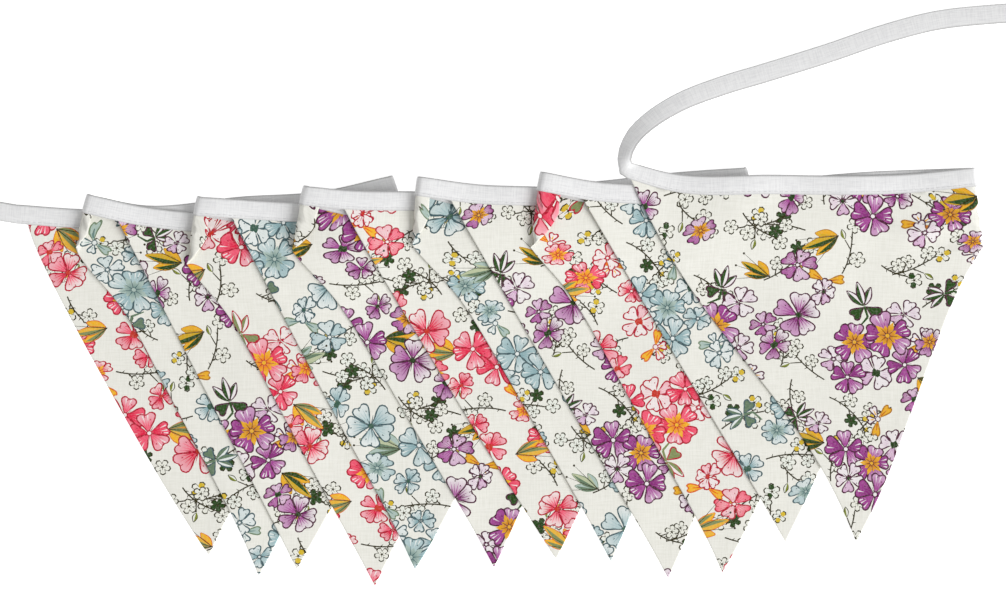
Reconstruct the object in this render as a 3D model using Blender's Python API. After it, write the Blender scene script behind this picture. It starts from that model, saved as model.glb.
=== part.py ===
"""A string of twelve sewn cotton pennants on one white bias binding, folded back and forth
into a flat bundle so that each pennant overlaps the one before it.

The binding is one long strip, folded lengthwise over the top edges of the pennants. It starts
at the left tie, runs to and fro in twelve runs, and ends in the right tie. Odd runs go to the
right with their pennant face up, and even runs come back with their pennant face down. Each
fold in the binding turns over a top corner of the even pennant beside it.

Lengths in the tables are millimetres, measured on the table from the middle of the bundle.
X is to the right, Y is from the pennants' tips towards the binding, and Z is up.
"""

import math
from collections import namedtuple

import bmesh
import bpy
import numpy as np

MM = 0.001

# The middle of the finished bundle's footprint, which becomes the model's origin.
MIDDLE_X = -14.345
MIDDLE_Y = 0.02

# A pennant is two cloths sewn back to back, pressed thinner where the binding holds it.
PENNANT_THICK = 1.0
HELD_THICK = 0.5
HELD_DEPTH = 4.2

# The binding: half the width of the finished tape, one leaf's thickness, and how far a leaf lies
# from the tape's middle where it holds a pennant and where it is pressed shut.
TAPE_HALF = 5.25
LEAF_THICK = 0.45
LEAF_OPEN = 0.8
LEAF_SHUT = 0.4
SHUT_WITHIN = 25.0
CLEAR = 0.3

# How the layers stack: each pennant and each run of tape lifts what lies over it by its pitch,
# and the cloth slopes down again within the fall. Cloth bridges small steps beside the tape.
LAYER_PITCH = 1.6
LAYER_FALL = 50.0
TAPE_PITCH = 2.4
TAPE_FALL = 60.0
TAPE_EASE = 40.0
BRIDGED = 12.0
PUFF_REACH = 24.0

# Where the mesh has its rows: cross-sections along the tape, more of them beside a full fold,
# slices round a fold, and rows down a pennant.
TAPE_STEP = 20.0
LEAST_STEP = 4.0
FULL_FOLD_REACH = 28.0
TIE_STEP = 14.0
AXIS_REACH = 9.0
FOLD_SLICES = 4
CUT_REACH = 12.0
PENNANT_ROWS = (14.0, 38.0, 80.0, 140.0)
WELD = 0.02

# How far to either side of a point its slope and its normal are taken.
SLOPE_STEP = 0.5
NORMAL_STEP = 0.05

# Points across the binding's folded strip: the front leaf's edge, round the closed edge, and
# the back leaf's edge. THROUGH is how far each lies to the front, as a share of the opening.
ACROSS = np.array((-TAPE_HALF, TAPE_HALF, TAPE_HALF, -TAPE_HALF))
THROUGH = np.array((1.0, 1.0, -1.0, -1.0))

# Folds between one run and the next: the middle of the binding on the fold's axis, how far the
# axis leans from the Y axis, and how much the fold stands puffed up above two flat layers.
FoldRow = namedtuple("FoldRow", "x y lean puff")
FOLDS = {
    1: FoldRow(-61.5, 60.5, 20.0, 1.0),
    2: FoldRow(-228.0, 49.7, 16.0, 3.4),
    3: FoldRow(8.0, 52.0, 10.0, 1.0),
    4: FoldRow(-166.2, 48.4, 13.0, 3.2),
    5: FoldRow(63.0, 55.0, 10.0, 1.0),
    6: FoldRow(-107.2, 54.0, 14.0, 3.6),
    7: FoldRow(134.0, 65.0, 15.0, 1.4),
    8: FoldRow(-44.2, 59.0, 8.0, 3.2),
    9: FoldRow(193.0, 57.0, 10.0, 1.0),
    10: FoldRow(22.9, 61.5, 11.0, 3.4),
    11: FoldRow(260.2, 65.0, 8.0, 1.0),
}

# The binding's middle line in each run between its two ends: just after its left end, half way
# and before its right end. A run's ends are its folds, or the places below.
RunRow = namedtuple("RunRow", "knee_x knee_y half_x half_y late_x late_y")
RUNS = {
    1: RunRow(-232.0, 42.0, -160.0, 44.0, -105.0, 50.0),
    2: RunRow(-202.0, 44.4, -143.0, 49.1, -100.0, 52.0),
    3: RunRow(-204.7, 44.3, -170.0, 40.0, -80.0, 43.0),
    4: RunRow(-140.0, 44.5, -80.0, 47.0, -30.0, 50.0),
    5: RunRow(-140.0, 46.7, -112.0, 45.2, -20.0, 48.0),
    6: RunRow(-85.0, 49.0, -20.0, 51.0, 20.0, 53.0),
    7: RunRow(-90.6, 52.3, -48.3, 51.4, 50.0, 55.0),
    8: RunRow(-22.0, 54.0, 50.0, 57.0, 98.0, 62.5),
    9: RunRow(-14.1, 55.1, 18.7, 54.0, 110.0, 54.0),
    10: RunRow(45.0, 56.0, 100.0, 56.0, 150.0, 57.0),
    11: RunRow(45.0, 57.4, 130.0, 57.0, 209.0, 63.0),
    12: RunRow(90.0, 61.0, 150.0, 59.9, 226.7, 61.6),
}
FIRST_END = (-270.0, 44.6)
LAST_END = (69.0, 68.0)

# Pennants: where the left and right top corners come along the binding, and the tip. A corner
# that is folded over is measured where it ends up, on the next or the last run.
PennantRow = namedtuple("PennantRow", "left_x right_x tip_x tip_y cloth")
PENNANTS = {
    1: PennantRow(-266.1, -77.0, -163.3, -144.7, "pink"),
    2: PennantRow(-222.6, -69.5, -135.6, -156.4, "blue"),
    3: PennantRow(-215.0, -9.0, -114.4, -152.5, "purple"),
    4: PennantRow(-158.0, -1.5, -71.1, -161.7, "pink"),
    5: PennantRow(-151.5, 46.0, -48.9, -152.5, "blue"),
    6: PennantRow(-96.5, 53.0, -5.0, -151.4, "purple"),
    7: PennantRow(-89.4, 118.0, 29.4, -146.9, "pink"),
    8: PennantRow(-37.5, 125.0, 60.0, -148.3, "blue"),
    9: PennantRow(-31.1, 173.0, 91.7, -157.5, "purple"),
    10: PennantRow(34.5, 180.5, 121.7, -154.2, "pink"),
    11: PennantRow(41.1, 243.0, 156.7, -137.3, "blue"),
    12: PennantRow(71.5, 250.0, 196.1, -137.3, "purple"),
}
LAST = len(PENNANTS)

# The ties' routes from the bundle to their plain ends: the middle line, the share of the
# bundle's height that it is still at, how far the tape leans over, and how much of its width is
# left where the cloth bunches up.
TieRow = namedtuple("TieRow", "x y height lean width")
LEFT_TIE = (
    TieRow(-283.0, 46.8, 0.0, 0.0, 1.0),
    TieRow(-300.0, 47.0, 0.0, 0.0, 1.0),
    TieRow(-316.0, 39.0, 0.0, 0.0, 1.0),
    TieRow(-325.0, 22.0, 0.0, 0.0, 1.0),
    TieRow(-328.0, 0.0, 0.0, 0.0, 1.0),
    TieRow(-327.0, -40.0, 0.0, 0.0, 1.0),
    TieRow(-321.0, -90.0, 0.0, 0.0, 1.0),
    TieRow(-315.0, -130.0, 0.0, 0.0, 1.0),
    TieRow(-316.0, -152.0, 0.0, 0.0, 1.0),
)
RIGHT_TIE = (
    TieRow(67.3, 69.2, 1.0, 10.0, 0.85),
    TieRow(66.2, 71.3, 1.0, 20.0, 0.75),
    TieRow(66.2, 73.6, 0.98, 28.0, 0.75),
    TieRow(66.7, 77.0, 0.93, 32.0, 0.82),
    TieRow(68.8, 82.3, 0.80, 34.0, 0.9),
    TieRow(73.1, 88.6, 0.62, 32.0, 1.0),
    TieRow(79.8, 94.9, 0.42, 26.0, 1.0),
    TieRow(97.2, 106.1, 0.16, 14.0, 1.0),
    TieRow(121.1, 115.6, 0.03, 4.0, 1.0),
    TieRow(146.0, 123.2, 0.0, 0.0, 1.0),
    TieRow(180.0, 133.8, 0.0, 0.0, 1.0),
    TieRow(213.0, 145.0, 0.0, 0.0, 1.0),
    TieRow(240.0, 152.0, 0.0, 0.0, 1.0),
    TieRow(267.0, 155.2, 0.0, 0.0, 1.0),
    TieRow(290.0, 156.5, 0.0, 0.0, 1.0),
    TieRow(305.0, 156.0, 0.0, 0.0, 1.0),
)

CLOTH_COLOURS = {
    "pink": (0.86, 0.62, 0.64, 1.0),
    "blue": (0.68, 0.78, 0.80, 1.0),
    "purple": (0.68, 0.52, 0.68, 1.0),
}
BINDING_COLOUR = (0.86, 0.86, 0.88, 1.0)
CLOTH_ROUGHNESS = 0.9


def smooth_fall(distance, reach):
    """1 at no distance, easing down to 0 at reach."""
    part = np.clip(distance / reach, 0.0, 1.0)
    return 1.0 - part * part * (3.0 - 2.0 * part)


def curve_through(knots_x, knots_y, x):
    """A smooth curve y(x) through the knots, level beyond the first and last."""
    knots_x = np.asarray(knots_x, float)
    knots_y = np.asarray(knots_y, float)
    slopes = np.gradient(knots_y, knots_x)
    x = np.clip(x, knots_x[0], knots_x[-1])
    span = np.clip(np.searchsorted(knots_x, x) - 1, 0, len(knots_x) - 2)
    width = knots_x[span + 1] - knots_x[span]
    part = (x - knots_x[span]) / width
    rise = knots_y[span + 1] - knots_y[span]
    start = slopes[span] * width
    end = slopes[span + 1] * width
    return knots_y[span] + part * (
        start + part * (3 * rise - 2 * start - end + part * (start + end - 2 * rise))
    )


def run_folds(run):
    """The numbers of the folds at a run's left and right ends, or None at a tie."""
    left, right = (run - 1, run) if run % 2 else (run, run - 1)
    return left if left in FOLDS else None, right


def run_ends(run):
    """The run's left and right end points."""
    left, right = run_folds(run)
    tie_end = FIRST_END if run == 1 else LAST_END
    return (FOLDS[left][:2] if left else tie_end), FOLDS[right][:2]


def run_y(run, x):
    """Y of the binding's middle line in a run."""
    left, right = run_ends(run)
    row = RUNS[run]
    knots_x = (left[0], row.knee_x, row.half_x, row.late_x, right[0])
    knots_y = (left[1], row.knee_y, row.half_y, row.late_y, right[1])
    return curve_through(knots_x, knots_y, x)


class Fold:
    """A fold of the binding. Its axis runs along `along`, and `out` points away from the bundle."""

    def __init__(self, number):
        row = FOLDS[number]
        self.number = number
        self.puff = row.puff
        self.middle = np.array((row.x, row.y))
        side = 1.0 if number % 2 else -1.0
        lean = math.radians(row.lean)
        self.along = np.array((-side * math.sin(lean), math.cos(lean)))
        self.out = np.array((side * math.cos(lean), math.sin(lean)))

    def lift(self, point):
        """How far the fold's fullness holds the runs above it up."""
        away = np.linalg.norm(point - self.middle, axis=-1)
        return self.puff * np.exp(-((away / PUFF_REACH) ** 2))

    def split(self, point):
        """A point's place along the axis and its distance out beyond it."""
        offset = point - self.middle
        return offset @ self.along, offset @ self.out

    def at(self, along):
        return self.middle + np.multiply.outer(along, self.along)


FOLD = {number: Fold(number) for number in FOLDS}


def tape_up(run, x):
    """The direction across the tape in a run, from its open lower edge to its closed one."""
    x = np.asarray(x, float)
    rise = run_y(run, x + SLOPE_STEP) - run_y(run, x - SLOPE_STEP)
    up = np.stack([-rise, np.full_like(rise, 2 * SLOPE_STEP)], -1)
    for number, end in zip(run_folds(run), run_ends(run)):
        if number:
            near = np.exp(-(((x - end[0]) / AXIS_REACH) ** 2))[..., None]
            up = up * (1 - near) + FOLD[number].along * near
    return up / np.linalg.norm(up, axis=-1, keepdims=True)


def stations(run, from_x, to_x):
    """Evenly spread places along a run. All runs share them, so their facets lie alike."""
    half_step = TAPE_STEP / 2
    count = np.arange(math.ceil((from_x + LEAST_STEP) / half_step), to_x / half_step)
    x = half_step * count
    close = x < run_ends(run)[0][0] + FULL_FOLD_REACH
    x = x[(close | (count % 2 == 0)) & (x <= to_x - LEAST_STEP)]
    return np.array([from_x, *x, to_x])


def lower_edge(run, x, inside=0.0):
    """Points along the tape's open edge in a run, or that far inside it."""
    middle = np.stack([x, run_y(run, x)], -1)
    return middle - (TAPE_HALF - inside) * tape_up(run, x)


def covered_corners(run):
    """The triangle that a pennant and its tape cover as laid, out to its folds."""
    row = PENNANTS[run]
    left_fold, right_fold = run_folds(run)
    left_x, right_x = row.left_x, row.right_x
    if run % 2 == 0:
        right_x = FOLDS[right_fold].x
        if left_fold:
            left_x = FOLDS[left_fold].x
    across = 2 * TAPE_HALF + BRIDGED
    corners = [lower_edge(run, left_x, across), lower_edge(run, right_x, across)]
    return np.array([*corners, (row.tip_x, row.tip_y)])


def beyond_triangle(corners, point):
    """How far outside a triangle a point lies; negative inside."""
    middle = corners.mean(0)
    most = np.full(point.shape[:-1], -np.inf)
    for first, second in zip(corners, np.roll(corners, -1, axis=0)):
        edge = (second - first) / np.linalg.norm(second - first)
        outward = np.array((edge[1], -edge[0]))
        if (middle - first) @ outward > 0:
            outward = -outward
        most = np.maximum(most, (point - first) @ outward)
    return most


CORNERS = {run: covered_corners(run) for run in PENNANTS}


def tape_cover(run, point, reach):
    """1 on a run of the binding, easing to 0 beside it."""
    left, right = run_ends(run)
    x = point[..., 0]
    beside = np.maximum(np.maximum(left[0] - x, x - right[0]), 0.0)
    across = np.maximum(np.abs(point[..., 1] - run_y(run, x)) - TAPE_HALF - BRIDGED, 0.0)
    return smooth_fall(np.hypot(beside, across), reach)


def height(run, point):
    """Height of the middle of the cloth at a run's own level, over all the runs below it."""
    own = PENNANT_THICK / 2
    own_tape = LEAF_OPEN + LEAF_THICK / 2 - own
    z = own + own_tape * tape_cover(run, point, TAPE_EASE)
    for below in range(1, run):
        z = z + LAYER_PITCH * smooth_fall(beyond_triangle(CORNERS[below], point), LAYER_FALL)
        z = z + (TAPE_PITCH - LAYER_PITCH) * tape_cover(below, point, TAPE_FALL)
        z = z + FOLD[below].lift(point)
    return z


def fold_over(fold, run, level, point, placed):
    """Carries points beyond a fold's axis round it, from a run's level to another's."""
    along, beyond = fold.split(point)
    over = beyond > 0
    if not over.any():
        return placed
    axis = fold.at(along[over])
    start = height(run, axis)
    end = height(level, axis)
    radius = np.abs(end - start) / 2
    turn = np.minimum(beyond[over] / radius, math.pi)
    spare = np.maximum(beyond[over] - math.pi * radius, 0.0)
    flat = axis + ((radius * np.sin(turn)) - spare)[:, None] * fold.out
    rest = height(level, flat) - height(level, axis)
    z = start + (end - start) * (1 - np.cos(turn)) / 2 + rest * (spare > 0)
    placed[over] = np.column_stack([flat, z])
    return placed


def laid(run, point):
    """Where the run's cloth comes to lie, for points of it spread out flat at its own level."""
    placed = np.column_stack([point, height(run, point)])
    if run % 2 == 0:
        placed = fold_over(FOLD[run - 1], run, run - 1, point, placed)
        if run != LAST:
            placed = fold_over(FOLD[run], run, run + 1, point, placed)
    return placed


def laid_normal(run, point):
    """The direction through the cloth at those points, up where it isn't folded over."""
    east = laid(run, point + (NORMAL_STEP, 0.0)) - laid(run, point - (NORMAL_STEP, 0.0))
    north = laid(run, point + (0.0, NORMAL_STEP)) - laid(run, point - (0.0, NORMAL_STEP))
    normal = np.cross(east, north)
    return normal / np.linalg.norm(normal, axis=1, keepdims=True)


def fold_radius(fold, along):
    """Radius of a fold's round at places along its axis."""
    axis = fold.at(np.atleast_1d(along))
    return (height(fold.number + 1, axis) - height(fold.number, axis)) / 2


def turned_edge(fold, level, corner_x, inside):
    """A folded-over stretch of a top edge, from the fold's axis to the corner, spread flat."""
    ends = sorted((fold.middle[0], corner_x))
    x = stations(level, *ends)
    if corner_x < fold.middle[0]:
        x = x[::-1]
    along, beyond = fold.split(lower_edge(level, x[1:], inside))
    along = np.array([inside - TAPE_HALF, *along])
    beyond = np.array([0.0, *beyond])
    spread = math.pi * fold_radius(fold, along) - beyond
    return [fold.at(inside - TAPE_HALF), *(fold.at(along) + spread[:, None] * fold.out)]


def corners_on(run, pennant):
    """Where a pennant's corners come on a run: its own, or one folded over from a neighbour."""
    if pennant not in PENNANTS:
        return []
    row = PENNANTS[pennant]
    if pennant != run:
        folded = [row.left_x] if pennant < run else [row.right_x]
        return [] if pennant % 2 else folded
    if run % 2:
        return [row.left_x, row.right_x]
    return [row.left_x] if run == LAST else []


def top_edge(run, inside=0.0):
    """Points along a pennant at the tape's lower edge, or inside it, with its cloth spread flat."""
    left_x, right_x = PENNANTS[run].left_x, PENNANTS[run].right_x
    left, right = run_folds(run)
    first, last = [], []
    if run % 2 == 0:
        last = turned_edge(FOLD[right], run - 1, right_x, inside)
        right_x = FOLD[right].middle[0]
        if left:
            first = turned_edge(FOLD[left], run + 1, left_x, inside)[::-1]
            left_x = FOLD[left].middle[0]
    middle = lower_edge(run, stations(run, left_x, right_x), inside)
    if first:
        middle = middle[1:]
    if last:
        middle = middle[:-1]
    return np.array([*first, *middle, *last])


def finish_sheet(name, bm, thickness, material):
    """Makes the object of a sheet's middle surface and gives it its thickness."""
    mesh = bpy.data.meshes.new(name)
    bmesh.ops.recalc_face_normals(bm, faces=bm.faces)
    bm.to_mesh(mesh)
    bm.free()
    mesh.materials.append(material)
    mesh.shade_smooth()
    sheet = bpy.data.objects.new(name, mesh)
    bpy.context.scene.collection.objects.link(sheet)
    solid = sheet.modifiers.new("thickness", "SOLIDIFY")
    solid.thickness = thickness * MM
    solid.offset = 0.0
    solid.use_even_offset = True
    return sheet


def thin_held_edge(sheet, full):
    """Thins a pennant where the binding holds it. full is 0 there and 1 in the open cloth."""
    thin = HELD_THICK / PENNANT_THICK
    group = sheet.vertex_groups.new(name="full thickness")
    for index, share in enumerate(full):
        group.add([index], thin + (1 - thin) * share, "REPLACE")
    sheet.modifiers["thickness"].vertex_group = group.name


def place(bm, spots):
    """Moves a mesh's vertices to their laid places, in metres from the bundle's middle."""
    for vertex, spot in zip(bm.verts, spots):
        vertex.co = ((spot[0] - MIDDLE_X) * MM, (spot[1] - MIDDLE_Y) * MM, spot[2] * MM)


def cut_for_fold(bm, fold):
    """Cuts the flat cloth along a fold's round, so that it bends in even slices."""
    places = np.array((0.0, -CUT_REACH))
    radius = fold_radius(fold, places)
    for step in range(FOLD_SLICES + 1):
        beyond = step / FOLD_SLICES * math.pi * radius
        ends = fold.at(places) + beyond[:, None] * fold.out
        line = ends[0] - ends[1]
        bmesh.ops.bisect_plane(
            bm,
            geom=bm.verts[:] + bm.edges[:] + bm.faces[:],
            plane_co=(ends[0][0], ends[0][1], 0.0),
            plane_no=(line[1], -line[0], 0.0),
            dist=WELD,
        )


def make_pennant(run, material):
    """One pennant: a triangle from the binding to its tip, with its top edge in the binding."""
    tip = np.array((PENNANTS[run].tip_x, PENNANTS[run].tip_y))
    top = top_edge(run)
    columns = len(top) - 1
    drop = np.linalg.norm(top.mean(0) - tip)
    held = top_edge(run, HELD_DEPTH)
    rows = np.array((-HELD_DEPTH, CLEAR, HELD_DEPTH, *PENNANT_ROWS, drop))
    bm = bmesh.new()
    bmesh.ops.create_grid(bm, x_segments=columns, y_segments=len(rows) - 1, size=1.0)
    for vertex in bm.verts:
        column = round((vertex.co.x + 1) / 2 * columns)
        row = round((1 - vertex.co.y) / 2 * (len(rows) - 1))
        part = rows[row] / drop
        spot = held[column] if row == 0 else top[column] * (1 - part) + tip * part
        vertex.co = (spot[0], spot[1], 0.0)
    bmesh.ops.remove_doubles(bm, verts=bm.verts, dist=WELD)
    if run % 2 == 0:
        cut_for_fold(bm, FOLD[run - 1])
        if run != LAST:
            cut_for_fold(bm, FOLD[run])
    flat = np.array([vertex.co.xy for vertex in bm.verts])
    edge_y = np.interp(flat[:, 0], top[:, 0], top[:, 1])
    depth = (edge_y - flat[:, 1]) / (edge_y - tip[1]) * drop
    place(bm, laid(run, flat))
    pennant = finish_sheet(f"pennant_{run:02d}", bm, PENNANT_THICK, material)
    thin_held_edge(pennant, np.clip((depth - CLEAR) / (HELD_DEPTH - CLEAR), 0.0, 1.0))


def run_sections(run):
    """Cross-sections of the tape along a run: its middle point and the way across it."""
    left, right = run_ends(run)
    corners = [corner_x for level in (run - 1, run, run + 1) for corner_x in corners_on(run, level)]
    x = np.unique([*stations(run, left[0], right[0]), *corners])
    sections = list(zip(np.stack([x, run_y(run, x)], -1), tape_up(run, x)))
    return sections if run % 2 else sections[::-1]


def run_spots(run, middle, up):
    """The points across one cross-section of a run, with the front leaf's edge first."""
    point = middle + ACROSS[:, None] * up
    side = 1.0 if run % 2 else -1.0
    return laid(run, point) + (side * LEAF_OPEN * THROUGH)[:, None] * laid_normal(run, point)


def fold_spots(fold):
    """The cross-sections round a fold, from the lower run to the one above it."""
    even = fold.number + fold.number % 2
    spots = []
    for step in range(1, FOLD_SLICES):
        part = step / FOLD_SLICES
        if fold.number % 2:
            part = 1 - part
        beyond = part * math.pi * fold_radius(fold, ACROSS)
        point = fold.at(ACROSS) + beyond[:, None] * fold.out
        through = -LEAF_OPEN * THROUGH
        spots.append(laid(even, point) + through[:, None] * laid_normal(even, point))
    return spots


def tie_spots(route, run, bundle_end):
    """The cross-sections of a tie, from where it leaves the bundle to its plain end."""
    route = np.array([(*bundle_end, 1.0, 0.0, 1.0), *route])
    steps = np.linalg.norm(np.diff(route[:, :2], axis=0), axis=1)
    along = np.concatenate([[0.0], np.cumsum(steps)])
    pieces = [np.arange(a, b, TIE_STEP) for a, b in zip(along[1:-1], along[2:])]
    at = np.concatenate([*pieces, along[-1:]])
    x, y, share, lean, width = (curve_through(along, column, at) for column in route.T)
    share = np.maximum(share, 0.0)
    before, after = at - SLOPE_STEP, np.minimum(at + SLOPE_STEP, along[-1])
    heading = [
        curve_through(along, column, after) - curve_through(along, column, before)
        for column in route.T[:2]
    ]
    heading /= np.linalg.norm(heading, axis=0)
    side = 1.0 if run % 2 else -1.0
    opening = LEAF_OPEN + (LEAF_SHUT - LEAF_OPEN) * np.clip(at / SHUT_WITHIN, 0.0, 1.0)
    start = height(run, np.array(bundle_end)) - LEAF_OPEN - LEAF_THICK / 2
    spots = []
    for k, tilt in enumerate(np.radians(lean)):
        level = np.array((heading[1][k], -heading[0][k], 0.0))
        upright = np.array((0.0, 0.0, 1.0))
        up = math.cos(tilt) * level + math.sin(tilt) * upright
        normal = math.cos(tilt) * upright - math.sin(tilt) * level
        half = TAPE_HALF * width[k]
        rise = share[k] * start + opening[k] + LEAF_THICK / 2 + half * math.sin(abs(tilt))
        middle = np.array((x[k], y[k], rise))
        through = side * opening[k] * THROUGH
        spots.append(middle + (width[k] * ACROSS)[:, None] * up + through[:, None] * normal)
    return spots


def make_binding(material):
    """The whole binding: a strip folded lengthwise, from the left tie's end to the right tie's."""
    sections = tie_spots(LEFT_TIE, 1, FIRST_END)[::-1]
    for run in RUNS:
        sections += [run_spots(run, *section) for section in run_sections(run)]
        if run in FOLD:
            sections += fold_spots(FOLD[run])
    sections += tie_spots(RIGHT_TIE, LAST, LAST_END)
    across = len(ACROSS) - 1
    length = len(sections) - 1
    bm = bmesh.new()
    bmesh.ops.create_grid(bm, x_segments=length, y_segments=across, size=1.0)
    spots = []
    for vertex in bm.verts:
        section = round((vertex.co.x + 1) / 2 * length)
        point = round((vertex.co.y + 1) / 2 * across)
        spots.append(sections[section][point])
    place(bm, spots)
    finish_sheet("binding_tape", bm, LEAF_THICK, material)


def make_material(name, colour):
    material = bpy.data.materials.new(name)
    material.use_nodes = True
    shader = material.node_tree.nodes["Principled BSDF"]
    shader.inputs["Base Color"].default_value = colour
    shader.inputs["Roughness"].default_value = CLOTH_ROUGHNESS
    shader.inputs["Metallic"].default_value = 0.0
    material.diffuse_color = colour
    return material


def main():
    for thing in list(bpy.data.objects):
        bpy.data.objects.remove(thing)
    cloths = {name: make_material(f"{name} cotton", CLOTH_COLOURS[name]) for name in CLOTH_COLOURS}
    for run in PENNANTS:
        make_pennant(run, cloths[PENNANTS[run].cloth])
    make_binding(make_material("white binding", BINDING_COLOUR))


main()
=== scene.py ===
import math
from collections import namedtuple

import bmesh
import bpy
import numpy as np
from mathutils.bvhtree import BVHTree
from mathutils.geometry import delaunay_2d_cdt
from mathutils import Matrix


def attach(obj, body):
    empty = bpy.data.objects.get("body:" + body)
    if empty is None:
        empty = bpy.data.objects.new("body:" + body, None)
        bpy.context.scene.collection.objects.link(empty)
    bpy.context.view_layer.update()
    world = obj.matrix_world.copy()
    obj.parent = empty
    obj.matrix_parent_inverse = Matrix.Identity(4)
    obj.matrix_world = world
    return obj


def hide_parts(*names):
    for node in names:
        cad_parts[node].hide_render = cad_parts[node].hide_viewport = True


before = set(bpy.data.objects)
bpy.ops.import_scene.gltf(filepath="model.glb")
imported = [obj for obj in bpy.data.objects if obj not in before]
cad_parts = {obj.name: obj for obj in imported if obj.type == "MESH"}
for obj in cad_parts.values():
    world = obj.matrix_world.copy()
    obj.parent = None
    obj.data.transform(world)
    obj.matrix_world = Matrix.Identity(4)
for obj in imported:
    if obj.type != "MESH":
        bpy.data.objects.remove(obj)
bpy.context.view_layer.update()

# ---------------------------------------------------------------------------------------------
# Binding tape. One long strip of white cotton with both edges turned in, folded lengthwise over
# the pennants' top edges, and folded to and fro in twelve runs between its two ties. Lengths are
# millimetres on the table, X along the binding, Y from the pennants' tips towards it.

MM = 0.001
MIDDLE_X = -14.345
MIDDLE_Y = 0.02

FoldRow = namedtuple("FoldRow", "x y lean puff")
FOLDS = {
    1: FoldRow(-61.5, 60.5, 20.0, 1.0),
    2: FoldRow(-228.0, 49.7, 16.0, 3.4),
    3: FoldRow(8.0, 52.0, 10.0, 1.0),
    4: FoldRow(-166.2, 48.4, 13.0, 3.2),
    5: FoldRow(63.0, 55.0, 10.0, 1.0),
    6: FoldRow(-107.2, 54.0, 14.0, 3.6),
    7: FoldRow(134.0, 65.0, 15.0, 1.4),
    8: FoldRow(-44.2, 59.0, 8.0, 3.2),
    9: FoldRow(193.0, 57.0, 10.0, 1.0),
    10: FoldRow(22.9, 61.5, 11.0, 3.4),
    11: FoldRow(260.2, 65.0, 8.0, 1.0),
}

RunRow = namedtuple("RunRow", "knee_x knee_y half_x half_y late_x late_y")
RUNS = {
    1: RunRow(-232.0, 42.0, -160.0, 44.0, -105.0, 50.0),
    2: RunRow(-202.0, 44.4, -143.0, 49.1, -100.0, 52.0),
    3: RunRow(-204.7, 44.3, -170.0, 40.0, -80.0, 43.0),
    4: RunRow(-140.0, 44.5, -80.0, 47.0, -30.0, 50.0),
    5: RunRow(-140.0, 46.7, -112.0, 45.2, -20.0, 48.0),
    6: RunRow(-85.0, 49.0, -20.0, 51.0, 20.0, 53.0),
    7: RunRow(-90.6, 52.3, -48.3, 51.4, 50.0, 55.0),
    8: RunRow(-22.0, 54.0, 50.0, 57.0, 98.0, 62.5),
    9: RunRow(-14.1, 55.1, 18.7, 54.0, 110.0, 54.0),
    10: RunRow(45.0, 56.0, 100.0, 56.0, 150.0, 57.0),
    11: RunRow(45.0, 57.4, 130.0, 57.0, 209.0, 63.0),
    12: RunRow(90.0, 62.2, 150.0, 60.6, 226.7, 61.6),
}
FIRST_END = (-270.0, 44.6)
LAST_END = (69.0, 68.0)

PennantRow = namedtuple("PennantRow", "left_x right_x tip_x tip_y cloth")
PENNANTS = {
    1: PennantRow(-266.1, -77.0, -163.3, -144.7, "pink"),
    2: PennantRow(-222.6, -69.5, -135.6, -156.4, "blue"),
    3: PennantRow(-215.0, -9.0, -114.4, -152.5, "purple"),
    4: PennantRow(-158.0, -1.5, -71.1, -161.7, "pink"),
    5: PennantRow(-151.5, 46.0, -48.9, -152.5, "blue"),
    6: PennantRow(-96.5, 53.0, -5.0, -151.4, "purple"),
    7: PennantRow(-89.4, 118.0, 29.4, -146.9, "pink"),
    8: PennantRow(-37.5, 125.0, 60.0, -148.3, "blue"),
    9: PennantRow(-31.1, 173.0, 91.7, -157.5, "purple"),
    10: PennantRow(34.5, 180.5, 121.7, -154.2, "pink"),
    11: PennantRow(41.1, 243.0, 156.7, -137.3, "blue"),
    12: PennantRow(67.6, 251.5, 196.1, -137.3, "purple"),
}
LAST = len(PENNANTS)

TAPE_HALF = 5.25
LEAF_OPEN = 0.8
LEAF_THICK = 0.45
PENNANT_THICK = 1.0
LAYER_PITCH = 1.6
LAYER_FALL = 50.0
TAPE_PITCH = 2.4
TAPE_FALL = 60.0
TAPE_EASE = 40.0
BRIDGED = 12.0
PUFF_REACH = 24.0
AXIS_REACH = 9.0
SLOPE_STEP = 0.5
NORMAL_STEP = 0.05


def smooth_fall(distance, reach):
    """1 at no distance, easing down to 0 at reach."""
    part = np.clip(distance / reach, 0.0, 1.0)
    return 1.0 - part * part * (3.0 - 2.0 * part)


def curve_through(knots_x, knots_y, x):
    """A smooth curve y(x) through the knots, level beyond the first and last."""
    knots_x = np.asarray(knots_x, float)
    knots_y = np.asarray(knots_y, float)
    slopes = np.gradient(knots_y, knots_x)
    x = np.clip(x, knots_x[0], knots_x[-1])
    span = np.clip(np.searchsorted(knots_x, x) - 1, 0, len(knots_x) - 2)
    width = knots_x[span + 1] - knots_x[span]
    part = (x - knots_x[span]) / width
    rise = knots_y[span + 1] - knots_y[span]
    start = slopes[span] * width
    end = slopes[span + 1] * width
    return knots_y[span] + part * (
        start + part * (3 * rise - 2 * start - end + part * (start + end - 2 * rise))
    )


def run_folds(run):
    """The numbers of the folds at a run's left and right ends, or None at a tie."""
    left, right = (run - 1, run) if run % 2 else (run, run - 1)
    return left if left in FOLDS else None, right


def run_ends(run):
    """The run's left and right end points."""
    left, right = run_folds(run)
    tie_end = FIRST_END if run == 1 else LAST_END
    return (FOLDS[left][:2] if left else tie_end), FOLDS[right][:2]


def run_y(run, x):
    """Y of the binding's middle line in a run."""
    left, right = run_ends(run)
    row = RUNS[run]
    knots_x = (left[0], row.knee_x, row.half_x, row.late_x, right[0])
    knots_y = (left[1], row.knee_y, row.half_y, row.late_y, right[1])
    return curve_through(knots_x, knots_y, x)


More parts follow.
